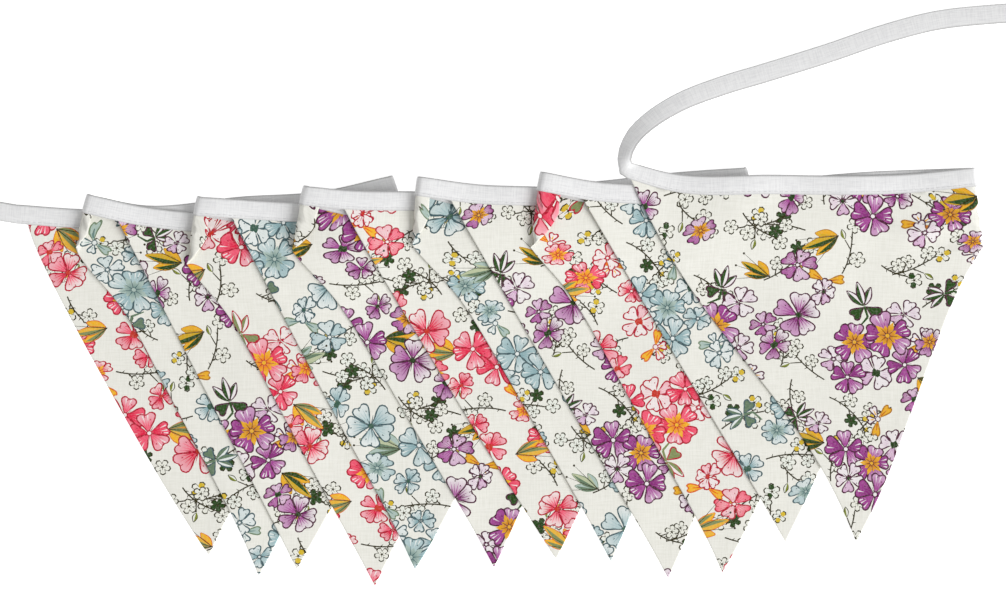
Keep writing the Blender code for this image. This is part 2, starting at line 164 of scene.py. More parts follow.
class Fold:
    """A fold of the binding. Its axis runs along `along`, and `out` points away from the bundle."""

    def __init__(self, number):
        row = FOLDS[number]
        self.number = number
        self.puff = row.puff
        self.middle = np.array((row.x, row.y))
        side = 1.0 if number % 2 else -1.0
        lean = math.radians(row.lean)
        self.along = np.array((-side * math.sin(lean), math.cos(lean)))
        self.out = np.array((side * math.cos(lean), math.sin(lean)))

    def lift(self, point):
        """How far the fold's fullness holds the runs above it up."""
        away = np.linalg.norm(point - self.middle, axis=-1)
        return self.puff * np.exp(-((away / PUFF_REACH) ** 2))

    def split(self, point):
        """A point's place along the axis and its distance out beyond it."""
        offset = point - self.middle
        return offset @ self.along, offset @ self.out

    def at(self, along):
        return self.middle + np.multiply.outer(along, self.along)


FOLD = {number: Fold(number) for number in FOLDS}


def tape_up(run, x):
    """The direction across the tape in a run, from its open lower edge to its closed one."""
    x = np.asarray(x, float)
    rise = run_y(run, x + SLOPE_STEP) - run_y(run, x - SLOPE_STEP)
    up = np.stack([-rise, np.full_like(rise, 2 * SLOPE_STEP)], -1)
    for number, end in zip(run_folds(run), run_ends(run)):
        if number:
            near = np.exp(-(((x - end[0]) / AXIS_REACH) ** 2))[..., None]
            up = up * (1 - near) + FOLD[number].along * near
    return up / np.linalg.norm(up, axis=-1, keepdims=True)


def lower_edge(run, x, inside=0.0):
    """Points along the tape's open edge in a run, or that far inside it."""
    middle = np.stack([x, run_y(run, x)], -1)
    return middle - (TAPE_HALF - inside) * tape_up(run, x)


def covered_corners(run):
    """The triangle that a pennant and its tape cover as laid, out to its folds."""
    row = PENNANTS[run]
    left_fold, right_fold = run_folds(run)
    left_x, right_x = row.left_x, row.right_x
    if run % 2 == 0:
        right_x = FOLDS[right_fold].x
        if left_fold:
            left_x = FOLDS[left_fold].x
    across = 2 * TAPE_HALF + BRIDGED
    corners = [lower_edge(run, left_x, across), lower_edge(run, right_x, across)]
    return np.array([*corners, (row.tip_x, row.tip_y)])


def beyond_triangle(corners, point):
    """How far outside a triangle a point lies; negative inside."""
    middle = corners.mean(0)
    most = np.full(point.shape[:-1], -np.inf)
    for first, second in zip(corners, np.roll(corners, -1, axis=0)):
        edge = (second - first) / np.linalg.norm(second - first)
        outward = np.array((edge[1], -edge[0]))
        if (middle - first) @ outward > 0:
            outward = -outward
        most = np.maximum(most, (point - first) @ outward)
    return most


CORNERS = {run: covered_corners(run) for run in PENNANTS}


def tape_cover(run, point, reach):
    """1 on a run of the binding, easing to 0 beside it."""
    left, right = run_ends(run)
    x = point[..., 0]
    beside = np.maximum(np.maximum(left[0] - x, x - right[0]), 0.0)
    across = np.maximum(np.abs(point[..., 1] - run_y(run, x)) - TAPE_HALF - BRIDGED, 0.0)
    return smooth_fall(np.hypot(beside, across), reach)


def height(run, point):
    """Height of the middle of the cloth at a run's own level, over all the runs below it."""
    own = PENNANT_THICK / 2
    own_tape = LEAF_OPEN + LEAF_THICK / 2 - own
    z = own + own_tape * tape_cover(run, point, TAPE_EASE)
    for below in range(1, run):
        z = z + LAYER_PITCH * smooth_fall(beyond_triangle(CORNERS[below], point), LAYER_FALL)
        z = z + (TAPE_PITCH - LAYER_PITCH) * tape_cover(below, point, TAPE_FALL)
        z = z + FOLD[below].lift(point)
    return z


def fold_over(fold, run, level, point, placed):
    """Carries points beyond a fold's axis round it, from a run's level to another's."""
    along, beyond = fold.split(point)
    over = beyond > 0
    if not over.any():
        return placed
    axis = fold.at(along[over])
    start = height(run, axis)
    end = height(level, axis)
    radius = np.abs(end - start) / 2
    turn = np.minimum(beyond[over] / radius, math.pi)
    spare = np.maximum(beyond[over] - math.pi * radius, 0.0)
    flat = axis + ((radius * np.sin(turn)) - spare)[:, None] * fold.out
    rest = height(level, flat) - height(level, axis)
    z = start + (end - start) * (1 - np.cos(turn)) / 2 + rest * (spare > 0)
    placed[over] = np.column_stack([flat, z])
    return placed


def laid(run, point):
    """Where the run's cloth comes to lie, for points of it spread out flat at its own level."""
    placed = np.column_stack([point, height(run, point)])
    if run % 2 == 0:
        placed = fold_over(FOLD[run - 1], run, run - 1, point, placed)
        if run != LAST:
            placed = fold_over(FOLD[run], run, run + 1, point, placed)
    return placed


def laid_normal(run, point):
    """The direction through the cloth at those points, up where it isn't folded over."""
    east = laid(run, point + (NORMAL_STEP, 0.0)) - laid(run, point - (NORMAL_STEP, 0.0))
    north = laid(run, point + (0.0, NORMAL_STEP)) - laid(run, point - (0.0, NORMAL_STEP))
    normal = np.cross(east, north)
    return normal / np.linalg.norm(normal, axis=1, keepdims=True)


def fold_radius(fold, along):
    """Radius of a fold's round at places along its axis."""
    axis = fold.at(np.atleast_1d(along))
    return (height(fold.number + 1, axis) - height(fold.number, axis)) / 2


TieRow = namedtuple("TieRow", "x y height lean width")
LEFT_TIE = (
    TieRow(-283.0, 46.8, 0.0, 0.0, 1.0),
    TieRow(-300.0, 47.0, 0.0, 0.0, 1.0),
    TieRow(-316.0, 39.0, 0.0, 0.0, 1.0),
    TieRow(-325.0, 22.0, 0.0, 0.0, 1.0),
    TieRow(-328.0, 0.0, 0.0, 0.0, 1.0),
    TieRow(-327.0, -40.0, 0.0, 0.0, 1.0),
    TieRow(-321.0, -90.0, 0.0, 0.0, 1.0),
    TieRow(-315.0, -130.0, 0.0, 0.0, 1.0),
    TieRow(-316.0, -152.0, 0.0, 0.0, 1.0),
)
RIGHT_TIE = (
    TieRow(67.3, 69.2, 1.0, 10.0, 0.85),
    TieRow(66.2, 71.3, 1.0, 20.0, 0.75),
    TieRow(66.2, 73.6, 0.98, 28.0, 0.75),
    TieRow(66.7, 77.0, 0.93, 32.0, 0.82),
    TieRow(68.8, 82.3, 0.80, 34.0, 0.9),
    TieRow(73.1, 88.6, 0.62, 32.0, 1.0),
    TieRow(79.8, 94.9, 0.42, 26.0, 1.0),
    TieRow(97.2, 106.1, 0.16, 14.0, 1.0),
    TieRow(121.1, 115.6, 0.03, 4.0, 1.0),
    TieRow(146.0, 123.2, 0.0, 0.0, 1.0),
    TieRow(180.0, 133.8, 0.0, 0.0, 1.0),
    TieRow(213.0, 145.0, 0.0, 0.0, 1.0),
    TieRow(240.0, 152.0, 0.0, 0.0, 1.0),
    TieRow(267.0, 155.2, 0.0, 0.0, 1.0),
    TieRow(290.0, 156.5, 0.0, 0.0, 1.0),
    TieRow(305.0, 156.0, 0.0, 0.0, 1.0),
)

LAST_NARROW = 0.15
LAST_REACH = 30.0
GATHERS = 3.0
GATHER_RISE = 2.2
SHUT_WITHIN = 25.0
LEAF_SHUT = 0.4
SECTION_STEP = 5.0
FOLD_SLICES = 12
CLOTH_THICK = 0.22
HEM = 4.6

# The strip's section, from one turned-in edge to the other: how far across the tape each point
# lies, and how far from its middle as a share of the leaf's opening. Across is -1 at the open
# lower edge and 1 at the closed upper one.
SECTION = (
    (-1.0 + HEM / TAPE_HALF, 0.52),
    (-0.94, 0.52),
    (-1.0, 0.84),
    (-0.96, 1.02),
    (-0.86, 1.04),
    (-0.72, 0.8),
    (-0.58, 1.04),
    (0.0, 1.06),
    (0.7, 1.04),
    (0.93, 0.85),
    (0.99, 0.42),
)


def full_section():
    """The section's points across and through the tape, front leaf first."""
    front = np.array(SECTION)
    top = np.array([(1.0, 0.0)])
    back = front[::-1] * (1.0, -1.0)
    across, through = np.vstack([front, top, back]).T
    return TAPE_HALF * across, LEAF_OPEN * through


def run_strip(run, x, across, through):
    """Points on the tape along a run, for places across and through it."""
    middle = np.stack([x, run_y(run, x)], -1)
    narrow = 1.0 - LAST_NARROW * np.exp(-(((x - LAST_END[0]) / LAST_REACH) ** 2)) * (run == LAST)
    across = narrow[:, None] * across
    flat = (middle[:, None] + across[..., None] * tape_up(run, x)[:, None]).reshape(-1, 2)
    side = 1.0 if run % 2 else -1.0
    through = np.tile(side * through, len(x))
    spots = laid(run, flat) + through[:, None] * laid_normal(run, flat)
    return spots.reshape(len(x), -1, 3)


def fold_strip(fold, across, through):
    """Points on the tape round a fold, from the lower run to the one above it."""
    even = fold.number + fold.number % 2
    part = np.arange(1, FOLD_SLICES) / FOLD_SLICES
    if fold.number % 2:
        part = 1 - part
    beyond = part[:, None] * math.pi * fold_radius(fold, across)
    flat = (fold.at(across) + beyond[..., None] * fold.out).reshape(-1, 2)
    through = np.tile(-through, len(part))
    spots = laid(even, flat) + through[:, None] * laid_normal(even, flat)
    return spots.reshape(len(part), len(across), 3)


def tie_strip(route, run, bundle_end, across, through, step, start=0.0):
    """Points on a tie, from where it leaves the bundle to its plain end."""
    route = np.array([(*bundle_end, 1.0, 0.0, 1.0), *route])
    steps = np.linalg.norm(np.diff(route[:, :2], axis=0), axis=1)
    along = np.concatenate([[0.0], np.cumsum(steps)])
    at = np.linspace(steps[0] + start, along[-1], int((along[-1] - steps[0] - start) / step))
    x, y, share, lean, width = (curve_through(along, column, at) for column in route.T)
    share = np.maximum(share, 0.0)
    before = at - SLOPE_STEP
    after = np.minimum(at + SLOPE_STEP, along[-1])
    heading = np.array(
        [
            curve_through(along, column, after) - curve_through(along, column, before)
            for column in route.T[:2]
        ]
    )
    heading /= np.linalg.norm(heading, axis=0)
    side = 1.0 if run % 2 else -1.0
    opening = LEAF_OPEN + (LEAF_SHUT - LEAF_OPEN) * np.clip(at / SHUT_WITHIN, 0.0, 1.0)
    bundle_height = height(run, np.array(bundle_end)) - LEAF_OPEN - LEAF_THICK / 2
    tilt = np.radians(lean)
    flat = np.zeros_like(x)
    level = np.stack([heading[1], -heading[0], flat], -1)
    upright = np.stack([flat, flat, flat + 1.0], -1)
    up = np.cos(tilt)[:, None] * level + np.sin(tilt)[:, None] * upright
    normal = np.cos(tilt)[:, None] * upright - np.sin(tilt)[:, None] * level
    rise = share * bundle_height + opening + LEAF_THICK / 2
    rise += TAPE_HALF * width * np.sin(np.abs(tilt))
    middle = np.stack([x, y, rise], -1)
    gathers = (1.0 - width)[:, None] * GATHER_RISE * np.cos(GATHERS * math.pi * across / TAPE_HALF)
    out = side * through * (opening / LEAF_OPEN)[:, None] + gathers
    return middle[:, None] + (width[:, None] * across)[..., None] * up[:, None] + (
        out[..., None] * normal[:, None]
    )




def run_stations(run, step):
    """Places along a run in the tape's own direction."""
    left, right = run_ends(run)
    x = np.linspace(left[0], right[0], round((right[0] - left[0]) / step) + 1)
    return x if run % 2 else x[::-1]


def whole_strip(across, through):
    """The tape's points from the left tie's end to the right tie's end."""
    strips = [tie_strip(LEFT_TIE, 1, FIRST_END, across, through, SECTION_STEP)[::-1]]
    for run in RUNS:
        strips.append(run_strip(run, run_stations(run, SECTION_STEP), across, through))
        if run in FOLD:
            strips.append(fold_strip(FOLD[run], across, through))
    strips.append(tie_strip(RIGHT_TIE, LAST, LAST_END, across, through, SECTION_STEP))
    return np.concatenate(strips)


def in_row_frame(spots):
    """Metres from the origin, for millimetres from the bundle's middle."""
    return (np.asarray(spots) - (MIDDLE_X, MIDDLE_Y, 0.0)) * MM


def make_tape():
    across, through = full_section()
    spots = whole_strip(across, through)
    lengths = np.linalg.norm(np.diff(spots[:, len(across) // 2], axis=0), axis=1)
    along = np.concatenate([[0.0], np.cumsum(lengths)])
    around = np.concatenate([[0.0], np.cumsum(np.hypot(np.diff(across), np.diff(through)))])
    columns = len(spots) - 1
    rows = len(across) - 1
    bm = bmesh.new()
    bmesh.ops.create_grid(bm, x_segments=columns, y_segments=rows, size=1.0)
    cloth = bm.loops.layers.uv.new("cloth")
    place = {}
    for vertex in bm.verts:
        column = round((vertex.co.x + 1) / 2 * columns)
        row = round((vertex.co.y + 1) / 2 * rows)
        place[vertex.index] = (column, row)
    for face in bm.faces:
        for loop in face.loops:
            column, row = place[loop.vert.index]
            loop[cloth].uv = (along[column] * MM, around[row] * MM)
    world = in_row_frame(spots)
    for vertex in bm.verts:
        column, row = place[vertex.index]
        vertex.co = world[column, row]
    bmesh.ops.recalc_face_normals(bm, faces=bm.faces)
    mesh = bpy.data.meshes.new("binding")
    bm.to_mesh(mesh)
    bm.free()
    mesh.shade_smooth()
    tape = bpy.data.objects.new("binding", mesh)
    bpy.context.scene.collection.objects.link(tape)
    solid = tape.modifiers.new("cloth thickness", "SOLIDIFY")
    solid.thickness = CLOTH_THICK * MM
    solid.offset = 0.0
    return tape, along[-1], around[-1]


class Wire:
    """A shader socket. Sums on it add their own Math nodes."""

    def __init__(self, socket):
        self.socket = socket

    def node(self, kind, settings, inputs, output=0):
        """Adds a node of that kind and gives its output."""
        tree = self.socket.id_data
        made = tree.nodes.new(kind)
        for name, value in settings.items():
            setattr(made, name, value)
        for name, value in inputs.items():
            if isinstance(value, Wire):
                tree.links.new(value.socket, made.inputs[name])
            else:
                made.inputs[name].default_value = value
        return Wire(made.outputs[output])

    def maths(self, operation, first, second):
        return self.node("ShaderNodeMath", {"operation": operation}, {0: first, 1: second})

    def __add__(self, other):
        return self.maths("ADD", self, other)

    __radd__ = __add__

    def __sub__(self, other):
        return self.maths("SUBTRACT", self, other)

    def __rsub__(self, other):
        return self.maths("SUBTRACT", other, self)

    def __mul__(self, other):
        return self.maths("MULTIPLY", self, other)

    __rmul__ = __mul__


def new_material(name, roughness, sheen):
    """A matt cloth material, and its shader as a Wire to build on."""
    material = bpy.data.materials.new(name)
    material.use_nodes = True
    shader = material.node_tree.nodes["Principled BSDF"]
    shader.inputs["Roughness"].default_value = roughness
    shader.inputs["Sheen Weight"].default_value = sheen
    shader.inputs["Specular IOR Level"].default_value = 0.25
    return material, shader, Wire(shader.outputs[0])


def threads(wire, cloth, pitch):
    """Uneven warp and weft threads: long thin streaks both ways, about 0.5 where even."""
    streaks = []
    for stretch in ((pitch / 14, pitch, 1.0), (pitch, pitch / 14, 1.0)):
        scaled = wire.node(
            "ShaderNodeVectorMath",
            {"operation": "MULTIPLY"},
            {0: cloth, 1: stretch},
        )
        streaks.append(
            wire.node(
                "ShaderNodeTexNoise",
                {"noise_dimensions": "2D"},
                {"Vector": scaled, "Scale": 1.0, "Detail": 2.0},
            )
        )
    return streaks


def linear(red, green, blue):
    """A colour as screens name it, 0 to 255, as the shader's linear light."""
    shares = np.array((red, green, blue)) / 255
    return np.where(shares < 0.04045, shares / 12.92, ((shares + 0.055) / 1.055) ** 2.4)


TAPE_LIGHT = (*linear(240, 240, 240), 1.0)
TAPE_DULL = (*linear(225, 225, 226), 1.0)
# The grey of the painted shade along the tape's fold and hems.
TAPE_PAINTED_SHADE = (*linear(128, 128, 126), 1.0)
TAPE_THREADS = 1600.0
# Painted shade along the tape's closed fold and hems: how far from its line it reaches, and how
# much of its grey it takes there.
PAINTED_SHADE_CORE = 0.4
FOLD_PAINTED_SHADE = (1.5, 0.7)
HEM_PAINTED_SHADE = (0.9, 0.3)


def make_tape_material(width):
    material, shader, wire = new_material("white cotton binding", 0.88, 0.1)
    cloth = wire.node("ShaderNodeUVMap", {"uv_map": "cloth"}, {})
    warp, weft = threads(wire, cloth, TAPE_THREADS)
    weave = warp * 0.5 + weft * 0.5
    tint = wire.node(
        "ShaderNodeMapRange",
        {},
        {"Value": weave, "From Min": 0.32, "From Max": 0.62, "To Min": 1.0, "To Max": 0.0},
    )
    colour = wire.node(
        "ShaderNodeMix",
        {"data_type": "RGBA"},
        {0: tint, 6: TAPE_LIGHT, 7: TAPE_DULL},
        2,
    )
    # Painted shade: grey lines along the closed fold in the middle of the strip and along the two
    # hems, standing in for the shade where the tape turns away from the light.
    across = wire.node("ShaderNodeSeparateXYZ", {}, {0: cloth}, 1)
    from_fold = wire.node("ShaderNodeMath", {"operation": "ABSOLUTE"}, {0: across - width / 2 * MM})
    from_hem = wire.node(
        "ShaderNodeMath",
        {"operation": "ABSOLUTE"},
        {0: from_fold - (width / 2 - HEM) * MM},
    )
    for distance, (reach, most) in ((from_fold, FOLD_PAINTED_SHADE), (from_hem, HEM_PAINTED_SHADE)):
        painted_shade = wire.node(
            "ShaderNodeMapRange",
            {},
            {
                "Value": distance,
                "From Min": PAINTED_SHADE_CORE * MM,
                "From Max": reach * MM,
                "To Min": most,
                "To Max": 0.0,
            },
        )
        colour = wire.node(
            "ShaderNodeMix",
            {"data_type": "RGBA"},
            {0: painted_shade, 6: colour, 7: TAPE_PAINTED_SHADE},
            2,
        )
    bump = wire.node(
        "ShaderNodeBump",
        {},
        {"Strength": 0.35, "Distance": 0.00012, "Height": weave},
    )
    tree = material.node_tree
    tree.links.new(colour.socket, shader.inputs["Base Color"])
    tree.links.new(bump.socket, shader.inputs["Normal"])
    return material


tape, tape_length, strip_width = make_tape()
tape.data.materials.append(make_tape_material(strip_width))
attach(tape, "root")
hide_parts("binding_tape")

# ---------------------------------------------------------------------------------------------
# Binding stitching. A row of white machine stitches closes the tape over the pennants, near its
# open edge. Each stitch is a short length of thread pulled down at both ends.

STITCH_PITCH = 3.0
STITCH_LONG = 2.3
THREAD_THICK = 0.3
STITCH_IN = 1.45


def stitch_places():
    """Middle and direction along for every stitch, on both faces of the tape."""
    across = np.array((STITCH_IN - TAPE_HALF,))
    reach = 0.8 * LEAF_OPEN + CLOTH_THICK
    places = []
    for face in (1.0, -1.0):
        strips = [tie_strip(LEFT_TIE, 1, FIRST_END, across, np.array((face * reach,)), 1.5)[::-1]]
        for run in RUNS:
            x = run_stations(run, STITCH_PITCH / 2)
            strips.append(run_strip(run, x, across, np.array((face * reach,))))
        strips.append(tie_strip(RIGHT_TIE, LAST, LAST_END, across, np.array((face * reach,)), 1.5))
        for strip in strips:
            line = strip[:, 0]
            middle = line[1:-1:2]
            ahead = line[2::2][: len(middle)] - line[:-2:2][: len(middle)]
            places += list(zip(middle, ahead))
    return places


def make_stitching():
    template = bmesh.new()
    bmesh.ops.create_uvsphere(template, u_segments=4, v_segments=4, radius=0.5)
    for vertex in template.verts:
        x, y, z = vertex.co
        vertex.co = (z * STITCH_LONG, x * THREAD_THICK, y * THREAD_THICK)
    shape = np.array([vertex.co for vertex in template.verts])
    faces = [[vertex.index for vertex in face.verts] for face in template.faces]
    template.free()
    spots = []
    stitches = []
    for middle, ahead in stitch_places():
        ahead = ahead / np.linalg.norm(ahead)
        aside = np.cross((0.0, 0.0, 1.0), ahead)
        aside /= np.linalg.norm(aside)
        turned = np.array((ahead, aside, np.cross(ahead, aside)))
        stitches += [[index + len(spots) * len(shape) for index in face] for face in faces]
        spots.append(in_row_frame(middle + shape @ turned))
    mesh = bpy.data.meshes.new("binding_stitching")
    mesh.from_pydata(np.concatenate(spots).tolist(), [], stitches)
    mesh.shade_smooth()
    stitching = bpy.data.objects.new("binding_stitching", mesh)
    bpy.context.scene.collection.objects.link(stitching)
    return stitching


stitching = make_stitching()
thread, shader, wire = new_material("white sewing thread", 0.6, 0.0)
position = wire.node("ShaderNodeTexCoord", {}, {}, "Object")
twist = wire.node(
    "ShaderNodeTexNoise", {}, {"Vector": position, "Scale": 2500.0, "Detail": 1.0}
)
shade = wire.node(
    "ShaderNodeMix",
    {"data_type": "RGBA"},
    {0: twist, 6: (*linear(205, 205, 208), 1.0), 7: (*linear(240, 240, 240), 1.0)},
    2,
)
thread.node_tree.links.new(shade.socket, shader.inputs["Base Color"])
stitching.data.materials.append(thread)
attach(stitching, "root")

# ---------------------------------------------------------------------------------------------
# Printed cotton. One repeat of outlined watercolour flowers, buds and blossom sprigs, printed on
# cream cotton in three colourways. The repeat is charted here in millimetres, and each shape in
# it is one outline with a wash from its middle outwards.

GROUND = (243, 242, 234)
COLOURWAYS = {
    "purple": {
        "gilt": (184, 122, 20),
        "rays": (104, 44, 30),
        "ink": (78, 18, 54),
        "deep": (136, 40, 120),
        "petal": (168, 72, 152),
        "pale": (212, 164, 204),
        "white": (244, 238, 240),
        "sun": (240, 178, 34),
        "amber": (196, 100, 26),
        "heart": (34, 62, 14),
        "leaf": (38, 76, 16),
        "lime": (214, 172, 36),
        "bloom": (242, 242, 232),
    },
    "pink": {
        "gilt": (226, 104, 34),
        "rays": (190, 34, 34),
        "ink": (186, 6, 46),
        "deep": (232, 30, 72),
        "petal": (250, 94, 122),
        "pale": (248, 184, 194),
        "white": (248, 238, 236),
        "sun": (250, 186, 38),
        "amber": (240, 100, 26),
        "heart": (206, 52, 36),
        "leaf": (134, 146, 92),
        "lime": (240, 186, 62),
        "bloom": (242, 242, 232),
    },
    "blue": {
        "gilt": (118, 138, 110),
        "rays": (64, 98, 102),
        "ink": (70, 96, 102),
        "deep": (142, 176, 182),
        "petal": (180, 204, 207),
        "pale": (212, 225, 225),
        "white": (236, 241, 239),
        "sun": (178, 198, 190),
        "amber": (100, 134, 130),
        "heart": (58, 94, 78),
        "leaf": (104, 128, 102),
        "lime": (192, 200, 164),
        "bloom": (240, 243, 234),
    },
}

SHARED = {
    "ground": GROUND,
    "stem": (50, 44, 10),
    "gold": (222, 190, 48),
    "green": (34, 70, 14),
    "olive": (128, 138, 44),
}

REPEAT_WIDE = 165.0
REPEAT_HIGH = 155.0
LINE = 0.86

PETAL = ((0.0, 0.03), (0.28, 0.19), (0.58, 0.44), (0.87, 0.54), (1.04, 0.28), (0.9, 0.0))
LEAF = ((0.0, 0.0), (0.25, 0.36), (0.52, 0.5), (0.8, 0.28), (1.0, 0.0))

# Washes on a flower's petals in turn: the colour at the petal's foot and at its tip.
WASHES = {
    "full": (
        ("deep", "petal"),
        ("petal", "pale"),
        ("deep", "petal"),
        ("petal", "petal"),
        ("petal", "pale"),
    ),
    "blush": (
        ("deep", "white"),
        ("petal", "white"),
        ("petal", "pale"),
        ("deep", "pale"),
        ("petal", "white"),
    ),
    "pale": (
        ("pale", "white"),
        ("white", "white"),
        ("pale", "white"),
        ("white", "pale"),
        ("white", "white"),
    ),
    "tipped": (
        ("white", "petal"),
        ("white", "pale"),
        ("white", "petal"),
        ("pale", "petal"),
        ("white", "pale"),
    ),
}

FlowerRow = namedtuple("FlowerRow", "x y size turn tilt wash heart")
FLOWERS = (
    FlowerRow(44, 100, 9.0, 60, 0.9, "pale", "pearl"),
    FlowerRow(29, 92, 7.5, 15, 0.9, "blush", "line"),
    FlowerRow(58, 113, 8.0, 35, 0.8, "tipped", "pearl"),
    FlowerRow(46, 126, 9.5, 20, 0.85, "pale", "line"),
    FlowerRow(21, 104, 9.5, 0, 0.9, "blush", "green"),
    FlowerRow(16, 124, 10.5, 10, 0.95, "full", "sun"),
    FlowerRow(33, 113, 12.5, 40, 1.0, "full", "sun"),
    FlowerRow(91, 131, 8.0, 70, 0.8, "pale", "dark"),
    FlowerRow(77, 118, 12.5, 15, 1.0, "blush", "dark"),
    FlowerRow(63, 101, 10.0, 50, 0.75, "blush", "green"),
    FlowerRow(95, 93, 8.5, 10, 0.85, "pale", "pearl"),
    FlowerRow(134, 119, 9.5, 0, 0.8, "pale", "line"),
    FlowerRow(148, 104, 8.5, 40, 0.85, "blush", "sun"),
    FlowerRow(118, 86, 10.0, 0, 1.0, "pale", "green"),
    FlowerRow(134, 91, 10.0, 45, 0.95, "full", "pearl"),
    FlowerRow(102, 83, 10.0, 20, 0.9, "full", "pearl"),
    FlowerRow(107, 103, 11.5, 5, 1.0, "full", "sun"),
    FlowerRow(125, 107, 12.5, 30, 1.0, "full", "sun"),
    FlowerRow(9, 45, 9.0, 0, 0.8, "blush", "sun"),
    FlowerRow(17, 60, 11.0, 0, 1.0, "full", "pearl"),
    FlowerRow(30, 50, 11.0, 25, 0.95, "full", "pearl"),
    FlowerRow(36, 70, 8.0, 50, 0.8, "blush", "dark"),
    FlowerRow(55, 40, 12.5, 10, 1.0, "blush", "dark"),
    FlowerRow(52, 63, 10.0, 0, 0.8, "tipped", "sun"),
    FlowerRow(73, 28, 9.5, 70, 0.75, "blush", "green"),
    FlowerRow(84, 56, 7.5, 20, 0.8, "pale", "line"),
    FlowerRow(127, 46, 9.5, 30, 0.9, "pale", "green"),
    FlowerRow(99, 42, 11.0, 20, 1.0, "full", "pearl"),
    FlowerRow(114, 35, 10.5, 0, 1.0, "full", "sun"),
    FlowerRow(101, 26, 8.5, 55, 0.9, "pale", "dark"),
    FlowerRow(117, 18, 11.0, 10, 1.0, "full", "pearl"),
    FlowerRow(131, 29, 8.0, 5, 0.85, "blush", "pearl"),
    FlowerRow(25, 11, 9.5, 30, 0.7, "tipped", "sun"),
    FlowerRow(150, 61, 11.0, 0, 0.95, "blush", "dark"),
    FlowerRow(139, 72, 8.0, 30, 0.8, "tipped", "green"),
    FlowerRow(155, 21, 10.0, 0, 0.9, "full", "sun"),
    FlowerRow(143, 10, 8.5, 45, 0.9, "pale", "pearl"),
    FlowerRow(77, 146, 10.0, 0, 0.85, "tipped", "pearl"),
    FlowerRow(158, 101, 9.0, 30, 0.85, "blush", "green"),
    FlowerRow(2, 84, 8.0, 15, 0.8, "blush", "sun"),
)

# Rosettes of pointed leaves, yellow buds in their leaves, and bow-shaped yellow blossoms.
LeafRow = namedtuple("LeafRow", "x y size turn")
ROSETTES = (
    LeafRow(37, 134, 14, 80),
    LeafRow(113, 123, 15, 110),
    LeafRow(72, 59, 12, 30),
    LeafRow(156, 131, 13, 200),
)
BUDS = (
    LeafRow(39, 52, 24, -12),
    LeafRow(87, 45, 22, 168),
    LeafRow(141, 84, 22, -40),
    LeafRow(7, 108, 20, 190),
    LeafRow(99, 7, 22, 200),
    LeafRow(62, 140, 18, 150),
)
BOWS = (
    LeafRow(49, 84, 8.5, -25),
    LeafRow(92, 137, 9, 200),
    LeafRow(144, 104, 9, 60),
    LeafRow(141, 15, 8.5, 20),
    LeafRow(5, 77, 8.5, 150),
    LeafRow(118, 60, 8.5, 95),
)

# Sprigs: where one starts, its turn and length, how much it curls, and what its twigs end in.
SprigRow = namedtuple("SprigRow", "x y turn length curl ends")
SPRIGS = (
    SprigRow(59, 138, 20, 26, 0.3, "wgyw"),
    SprigRow(89, 81, 150, 30, -0.35, "gywlw"),
    SprigRow(71, 81, 250, 22, 0.4, "wlww"),
    SprigRow(144, 123, 40, 24, -0.3, "wywg"),
    SprigRow(148, 81, -60, 22, 0.4, "ywlw"),
    SprigRow(81, 10, 160, 34, 0.3, "wwywg"),
    SprigRow(3, 29, 20, 28, -0.3, "wgwyw"),
    SprigRow(126, 67, 200, 26, 0.35, "wwlyw"),
    SprigRow(133, 55, 10, 24, 0.4, "gwyw"),
    SprigRow(12, 84, -15, 28, 0.3, "ywlww"),
    SprigRow(47, 20, -60, 20, 0.4, "wglw"),
    SprigRow(91, 71, -20, 24, -0.4, "wygw"),
    SprigRow(101, 141, 60, 22, 0.3, "wlw"),
    SprigRow(2, 138, 60, 22, 0.4, "gwyw"),
    SprigRow(91, 24, 100, 16, -0.3, "ylw"),
    SprigRow(139, 30, -30, 24, -0.3, "wgwy"),
    SprigRow(66, 89, 70, 18, 0.3, "wyw"),
    SprigRow(128, 141, 10, 22, 0.3, "ywlw"),
    SprigRow(150, 48, -70, 18, 0.3, "wwy"),
    SprigRow(60, 14, 10, 18, 0.35, "wlw"),
    SprigRow(22, 142, -20, 16, -0.3, "wyw"),
    SprigRow(122, 146, -40, 14, 0.3, "gw"),
    SprigRow(12, 26, -60, 18, 0.4, "wwl"),
)

Shape = namedtuple("Shape", "loop near far centre reach fine")


def turned(points, degrees):
    angle = math.radians(degrees)
    return np.asarray(points, float) @ np.array(
        ((math.cos(angle), math.sin(angle)), (-math.sin(angle), math.cos(angle)))
    )


def rounded(loop):
    """Cuts a loop's corners, so that it reads as a curve."""
    after = np.roll(loop, -1, axis=0)
    return np.stack([0.75 * loop + 0.25 * after, 0.25 * loop + 0.75 * after], 1).reshape(-1, 2)


def mirrored(half, length, width):
    """A loop from the half of it on one side of its length."""
    half = np.array(half) * (length, width)
    return np.vstack([half, half[-2:0:-1] * (1.0, -1.0)])


def within(loop, line=LINE):
    """The loop drawn in by a line's width."""
    middle = loop.mean(0)
    away = loop - middle
    size = np.linalg.norm(away, axis=1, keepdims=True)
    return middle + away * np.maximum(1.0 - line / np.maximum(size, line), 0.2)


def circle(x, y, radius, corners):
    angle = np.arange(corners) * 2 * math.pi / corners
    return np.stack([x + radius * np.cos(angle), y + radius * np.sin(angle)], -1)


